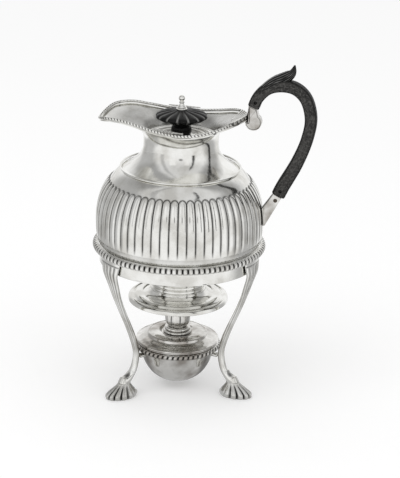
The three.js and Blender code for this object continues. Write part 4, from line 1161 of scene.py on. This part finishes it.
def upper_socket():
    """Square sleeve from the wood down to a flat round scroll with a fine rim"""
    across = np.array([UPPER_ALONG[1], -UPPER_ALONG[0]])
    end = UPPER_END - GAP * UPPER_ALONG
    left = end + across * (-HANDLE_WIDTH / 2 + 0.2)
    right = end + across * (HANDLE_WIDTH / 2 - 1.3)
    clear = REAR_REACH + GAP
    left = left + (right - left) * max(0, (clear - left[0]) / (right[0] - left[0]))
    centre = (REAR_REACH + SCROLL_OUT, NECK_Z + SCROLL_RISE)
    scroll = arc(centre, (SCROLL_RADIUS, SCROLL_RADIUS), 52, -178, 90)
    ledge = np.array([clear, scroll[-1][1]])
    outline = np.vstack([
        evenly([left, right], 14), evenly([right, scroll[0]], 12)[1:-1], scroll,
        evenly([scroll[-1], ledge], 5)[1:], evenly([ledge, left], 16)[1:-1],
    ])
    socket = plate(outline, SCROLL_THICK, rim=0.9, recess=0.3, edge=0.45)
    tongue = tenon(UPPER_END, UPPER_ALONG)
    piece("handle_upper_scroll", "jug", "handle_upper_socket", socket, tongue, material=SHADED_SILVER)


def lower_socket():
    """Flat tapering arm from the wood down to the belly"""
    across = np.array([LOWER_ALONG[1], -LOWER_ALONG[0]])
    end = LOWER_END + GAP * LOWER_ALONG
    inner = end + across * (HANDLE_LOW_WIDTH / 2 - 1.6)
    outer = end - across * (HANDLE_LOW_WIDTH / 2 - 2.2)
    heights = np.linspace(BELLY_Z + 2.2, BELLY_Z + 1.2 * ARM_FOOT, 24)
    seat = joined(belly_radius(heights) + GAP, heights)
    foot = np.array([BELLY_RADIUS + 0.15 * ARM_FOOT, BELLY_Z + 0.2 * ARM_FOOT])
    outline = np.vstack([
        evenly([outer, foot], 26), seat, evenly([seat[-1], inner], 20)[1:], evenly([inner, outer], 12)[1:-1],
    ])
    # the arm's inner side is painted darker: painted shade
    arm = plate(outline, SOCKET_THICK, edge=0.7, painted_shade_side=0.9)
    tongue = tenon(LOWER_END, -LOWER_ALONG)
    piece("handle_lower_arm", "jug", "handle_lower_socket", arm, tongue, material=SHADED_SILVER)


def jug():
    jug_body()
    neck_wire()
    jug_foot()
    rim_border()
    rear_shell()
    rim_leaf(-1, "jug_rim_leaf_near")
    rim_leaf(1, "jug_rim_leaf_far")
    lid_bearer()
    pin("hinge_knuckle_near", "barrel", **KNUCKLE)
    pin("hinge_knuckle_far", "barrel", **KNUCKLE)
    pin("hinge_pin", "rod")
    handle()
    thumb_leaf()
    upper_socket()
    lower_socket()
    pin("handle_upper_pin", "rod", sink=0.9, material=EBONY, slot="handle_wood")
    pin("handle_lower_pin", "rod", sink=0.9, material=EBONY, slot="handle_wood")
    # the rivet is near-black and grown: painted shade of a recess
    pin("handle_lower_rivet", "rod", sink=-0.2, grow=1.5, material=RECESS_SHADE_SILVER)


def lid_and_finial():
    lid()
    pin("lid_knuckle", "barrel", "lid", **KNUCKLE)
    finial()
    finial_metal()


# Burner

def burner_ring():
    outer, low, top = extent("burner_ring")
    bore = outer - RING_WIDTH
    foot = rounded([(bore, low + 1, 0.3), (outer - 2.8, low, 0.4)], closed=False)
    teeth = arc((outer - 2.1, (low + top) / 2), (2.1, 2.35), -82, 86, 20)
    profile = np.vstack([foot, teeth, [[outer - 2.3, top - 0.1], [outer - 2.8, top], [bore, top]]])
    part = toothed(profile, len(foot), len(teeth), RING_TEETH, depth=1.6, slant=-0.3, per_tooth=14)
    piece("burner_ring_beads", "burner", "burner_ring", part, material=SHADED_SILVER)


def burner_bowl():
    flange, low, top = extent("burner_bowl")
    ring, ring_low, ring_top = extent("burner_ring")
    neck = ring - RING_WIDTH - GAP
    curve = spline([
        (0.001, 0), (0.34, 0.05), (0.56, 0.17), (0.74, 0.34), (0.88, 0.58), (0.95, 0.8), (1, 1),
    ], 60)
    outside = curve * [neck, ring_low - low] + [0, low]
    hollow = joined(np.maximum(outside[:, 0] - WALL, 0.03), outside[:, 1] + WALL)[::-1]
    rim = rounded([
        (neck, ring_low + 1, 0), (neck, ring_top + GAP, 0.3), (flange, ring_top + GAP, 0.3),
        (flange, top, 0.3), (neck - WALL, top, 0.3), (neck - WALL, ring_low + 2, 0),
    ], closed=False)
    part = turned(np.vstack([outside, rim, hollow[1:]]), 160, closed=False)
    piece("burner_bowl_round", "burner", "burner_bowl", part, material=SHADED_SILVER)


def burner_cover():
    edge, low, top = extent("burner_cover")
    step = edge - 10.4
    rise = top - low
    dip = rise - 0.9
    hole = PLUG_RADIUS + 3 * GAP + WALL
    corners = inside(edge, 0, [
        (0.2, 0, 0.3), (0, 0.5, 0.4), (0.25, 1.3, 0.5), (1.2, 1.75, 0.5), (1.7, 1.45, 0.3), (3.5, 2.1, 1.2),
        (6, 3.5, 2), (8.8, 4.2, 1), (9.8, 4.7, 0.4), (10.2, 5.1, 0.4), (10.4, 6.5, 0.5), (10.9, 7.2, 0.5),
        (12, 7.5, 0.5), (12.5, 7.2, 0.3),
    ]) + [
        (0.82 * step, rise - 0.25, 1), (0.72 * step, rise, 1), (0.62 * step, rise - 0.25, 0.6),
        (COLLAR_RADIUS + 1, dip, 0.6), (hole, dip, 0.2), (hole, dip - WALL, 0.2),
        (step - 2, rise - 1 - WALL, 1), (step - 0.6, 3.8, 1), (step + 2, 2.4, 1), (edge - 4, 0.9, 0.5),
        (edge - 4, 0, 0.2),
    ]
    profile = rounded(corners, 5) + [0, low]
    piece("burner_cover_stepped", "burner", "burner_cover", turned(profile, 192), material=SHADED_SILVER)


def burner_collar():
    edge, low, top = extent("burner_collar")
    bore = PLUG_RADIUS + GAP
    tube_radius = bore + GAP + WALL
    base = top - 2.1
    profile = rounded([
        (bore, low, 0.2), (tube_radius, low, 0.2), (tube_radius, base, 0.1), (edge, base, 0.3),
        (edge, base + 1.3, 0.5), (edge - 0.8, top, 0.5), (bore, top, 0.2),
    ])
    piece("burner_collar_ring", "burner", "burner_collar", turned(profile, 120), material=SHADED_SILVER)


def wick_holder():
    edge, low, high = extent("wick_holder")
    bore = 3.7
    tube_radius = 4.8
    top = high - 9
    base = top - 2.6
    under = base - 3.4
    profile = rounded([
        (bore, low, 0), (tube_radius, low, 0.2), (tube_radius, under, 0.2), (PLUG_RADIUS, under, 0.2),
        (PLUG_RADIUS, base, 0.1), (edge, base, 0.3), (edge, base + 1.6, 0.5), (edge - 0.9, top - 0.1, 0.5),
        (edge - 2.2, top, 0.3), (tube_radius, top, 0.2), (tube_radius, high, 0.3), (bore, high, 0.2),
    ])
    piece("wick_holder_ring", "wick_holder", "wick_holder", turned(profile, 120), material=SHADED_SILVER)


def wick():
    """Braided, and scorched over its last 4 mm"""
    radius, low, top = extent("wick")
    side = [(radius - 0.02, z) for z in np.linspace(low, top - 0.9, 60)]
    profile = np.array([(0.02, low), *side, (radius - 0.8, top - 0.3), (0.02, top)])
    z = profile[:, 1:]
    columns = 96
    turn = 8 * circle(columns)
    braid = np.cos(turn + TAU * z / 5) * np.cos(turn - TAU * z / 5)
    relief = np.where(profile[:, :1] > 1, -0.12 * (1 - braid), 0)
    part = turned(profile, columns, closed=False, relief=relief, crease=0.9 * ease(z, top - 4, top))
    piece("wick_braid", "wick_holder", "wick", part, material=COTTON, slot="cotton")


def snuffer_cap():
    _, low, top = extent("snuffer_cap")
    tall = top - low
    radius = 11.3
    outside = spline([
        (8.3, 0), (9.4, 1.2), (0.965 * radius, 4.2), (radius, 8), (0.95 * radius, 12.5),
        (0.72 * radius, 16.7), (0.38 * radius, 18.8), (0.02, tall),
    ], 60)
    hollow = spline([
        (0.02, tall - 1.5), (0.58 * radius, 15.8), (0.84 * radius, 11), (0.82 * radius, 6), (7.3, 0),
    ], 30)
    profile = np.vstack([hollow, outside])
    share = np.clip(profile[:, 1] / tall, 0, 1)
    outer = np.arange(len(profile)) >= len(hollow)
    over = outer * np.sin(np.pi * share) ** 0.7
    part = fluted(profile + [0, low], CAP_LOBES, 24, over, depth=1.1, start=0.76, dark=0.9, closed=False)
    piece("snuffer_lobed_cap", "snuffer", "snuffer_cap", part, material=SHADED_SILVER)


def burner():
    burner_ring()
    burner_bowl()
    burner_cover()
    burner_collar()
    wick_holder()
    wick()
    snuffer_cap()


# Studio

CENTRE = Vector((*AXIS[:2], CAMERA_TARGET * MM))


def direction(turn, rise):
    """Unit vector from a turn to the right of the front and a rise, in radians"""
    return Vector((math.sin(turn) * math.cos(rise), -math.cos(turn) * math.cos(rise), math.sin(rise)))


def facing(turn, rise, distance):
    """Pose of a camera or a lamp that looks at the object from a distance in metres"""
    away = direction(turn, rise)
    return Matrix.Translation(CENTRE + away * distance) @ away.to_track_quat("Z", "Y").to_matrix().to_4x4()


def camera():
    lens = bpy.data.cameras.new("camera")
    lens.sensor_fit = "HORIZONTAL"
    lens.sensor_width = 36
    lens.lens = FOCAL_PIXELS / FRAME_WIDTH * lens.sensor_width
    lens.shift_x = (FRAME_WIDTH / 2 - AXIS_COLUMN) / FRAME_WIDTH
    lens.clip_end = 100
    thing = linked("camera", lens)
    level = facing(CAMERA_TURN, CAMERA_RISE, CAMERA_DISTANCE)
    thing.matrix_world = level @ Matrix.Rotation(CAMERA_ROLL, 4, "Z")
    bpy.context.scene.camera = thing


def staged(name, points, faces, material):
    mesh = mesh_of(name, points, faces)
    mesh.materials.append(material)
    thing = linked(name, mesh)
    return thing


def floor():
    """Plain pale floor: seen directly it glows a little, so that it is white where nothing shades it"""
    material = bpy.data.materials.new("floor")
    nodes = Nodes(material, clear=True)
    paper = nodes.add("BsdfDiffuse", Color=(0.86, 0.86, 0.855, 1))
    thin = nodes.add("BsdfDiffuse", Color=(0.8, 0.8, 0.8, 1))
    glow = nodes.add("Emission", Color=(1, 1, 1, 1), Strength=0.24)
    seen = nodes.add("AddShader")
    nodes.put(seen.inputs[0], thin.outputs[0])
    nodes.put(seen.inputs[1], glow.outputs[0])
    nodes.mix_shaders(nodes.add("LightPath").outputs["Is Camera Ray"], paper, seen, "OutputMaterial")
    corners = np.array([(-1, -1, 0), (1, -1, 0), (1, 1, 0), (-1, 1, 0)]) * FLOOR_HALF
    staged("floor", corners, [(0, 1, 2, 3)], material)


def world():
    """White where it is seen or mirrored, softer as a light"""
    sky = bpy.data.worlds.new("world")
    bpy.context.scene.world = sky
    nodes = Nodes(sky, clear=True)
    path = nodes.add("LightPath").outputs
    seen = nodes.calculated("MAXIMUM", path["Is Camera Ray"], path["Is Glossy Ray"])
    seen = nodes.calculated("MAXIMUM", seen, path["Is Transmission Ray"])
    light = nodes.add("Background", Color=(1, 1, 1, 1), Strength=0.86)
    white = nodes.add("Background", Color=(1, 1, 1, 1), Strength=1)
    nodes.mix_shaders(seen, light, white, "OutputWorld")


def window(value, low, high, soft):
    """1 between two values and 0 outside them, with soft edges"""
    rise = np.clip((value - low) / soft + 0.5, 0, 1)
    fall = np.clip((high - value) / soft + 0.5, 0, 1)
    return rise * rise * (3 - 2 * rise) * fall * fall * (3 - 2 * fall)


def wall_tone(turn, rise):
    """Brightness of the studio round the object: degrees from the front, to the right, and degrees up"""
    tone = 0.97 - 0.24 * window(rise, 34, 200, 36)
    tone = tone * (1 - 0.5 * window(turn, 90, 136, 26)) * (1 - 0.48 * window(turn, -132, -70, 26))
    tone = tone * (1 - 0.35 * window(turn, -52, -40, 8))
    boxes = window(turn, -26, -3, 3) + window(turn, 22, 38, 3)
    tone = np.maximum(tone, boxes * window(rise, 15, 46, 4))
    tone = tone * (1 - 0.75 * window(turn, 5, 15, 5) * window(rise, 13, 24, 5))
    return tone * (1 - 0.97 * window(turn, 44, 51, 3) * window(rise, -90, 64, 8))


def ceiling_tone(turn, rise):
    return 1 - 0.27 * window(rise, 48, 200, 36) * np.ones_like(turn)


def table_tone(turn, reach):
    """Brightness of the table round the object, at a distance in metres; darker near the object, a painted
    shadow
    """
    tone = 0.97 * (1 - 0.5 * window(turn, 88, 136, 26)) * (1 - 0.45 * window(turn, -134, -76, 26))
    # darker near the object: painted shadow of the object
    return tone * (1 - 0.5 * bell(reach, 0.12))


def mirrored_surface(name, points, tones):
    """A surface that only the silver mirrors, with a brightness at each point of its grid"""
    rows, columns, _ = points.shape
    first = np.arange(rows - 1)[:, None] * columns + np.arange(columns - 1)
    faces = joined(first, first + 1, first + columns + 1, first + columns).reshape(-1, 4)
    material = bpy.data.materials.new(name)
    nodes = Nodes(material, clear=True)
    nodes.add("OutputMaterial", Surface=nodes.add("Emission", Color=nodes.attribute("tone")).outputs[0])
    thing = staged(name, points.reshape(-1, 3) + AXIS, faces.tolist(), material)
    give(thing.data, "tone", "FLOAT", "value", tones)
    for kind in ("camera", "diffuse", "transmission", "volume_scatter", "shadow"):
        setattr(thing, f"visible_{kind}", False)


def dome(name, turns, rises, tone):
    """Part of a sphere round the object, between two turns and two rises in degrees"""
    turn = np.arange(turns[0], turns[1] + 0.01, 1.0)[None, :]
    rise = np.arange(rises[0], rises[1] + 0.01, 1.5)[:, None]
    t, e = np.radians(turn), np.radians(rise)
    points = joined(np.sin(t) * np.cos(e), -np.cos(t) * np.cos(e), np.sin(e))
    mirrored_surface(name, MIRROR_DISTANCE * points + [0, 0, CAMERA_TARGET * MM], tone(turn, rise))


def mirrored_studio():
    """Soft grey walls, ceiling and table round the object; the white world shows past them at the back"""
    dome("studio_walls", (-145, 145), (-3, 90), wall_tone)
    dome("studio_ceiling", (145, 215), (30, 90), ceiling_tone)
    turn = np.arange(-180, 180.01, 1.5)[None, :]
    reach = column(0.001, MIRROR_DISTANCE, 120)
    t = np.radians(turn)
    table = joined(reach * np.sin(t), -reach * np.cos(t), TABLE_RISE)
    mirrored_surface("studio_table", table, table_tone(turn, reach))


def lamp(name, turn, rise, distance, size, power):
    data = bpy.data.lights.new(name, "AREA")
    data.shape = "DISK"
    data.size = size
    data.energy = power
    thing = linked(name, data)
    thing.matrix_world = facing(math.radians(turn), math.radians(rise), distance)
    thing.visible_camera = False
    thing.visible_glossy = False


def studio():
    camera()
    floor()
    world()
    mirrored_studio()
    lamp("lamp_key", turn=-40, rise=55, distance=1.6, size=1.1, power=3.6)
    lamp("lamp_fill", turn=60, rise=40, distance=1.8, size=1.2, power=1.6)
    bpy.context.scene.view_settings.view_transform = "Standard"


stand()
jug()
lid_and_finial()
burner()
studio()
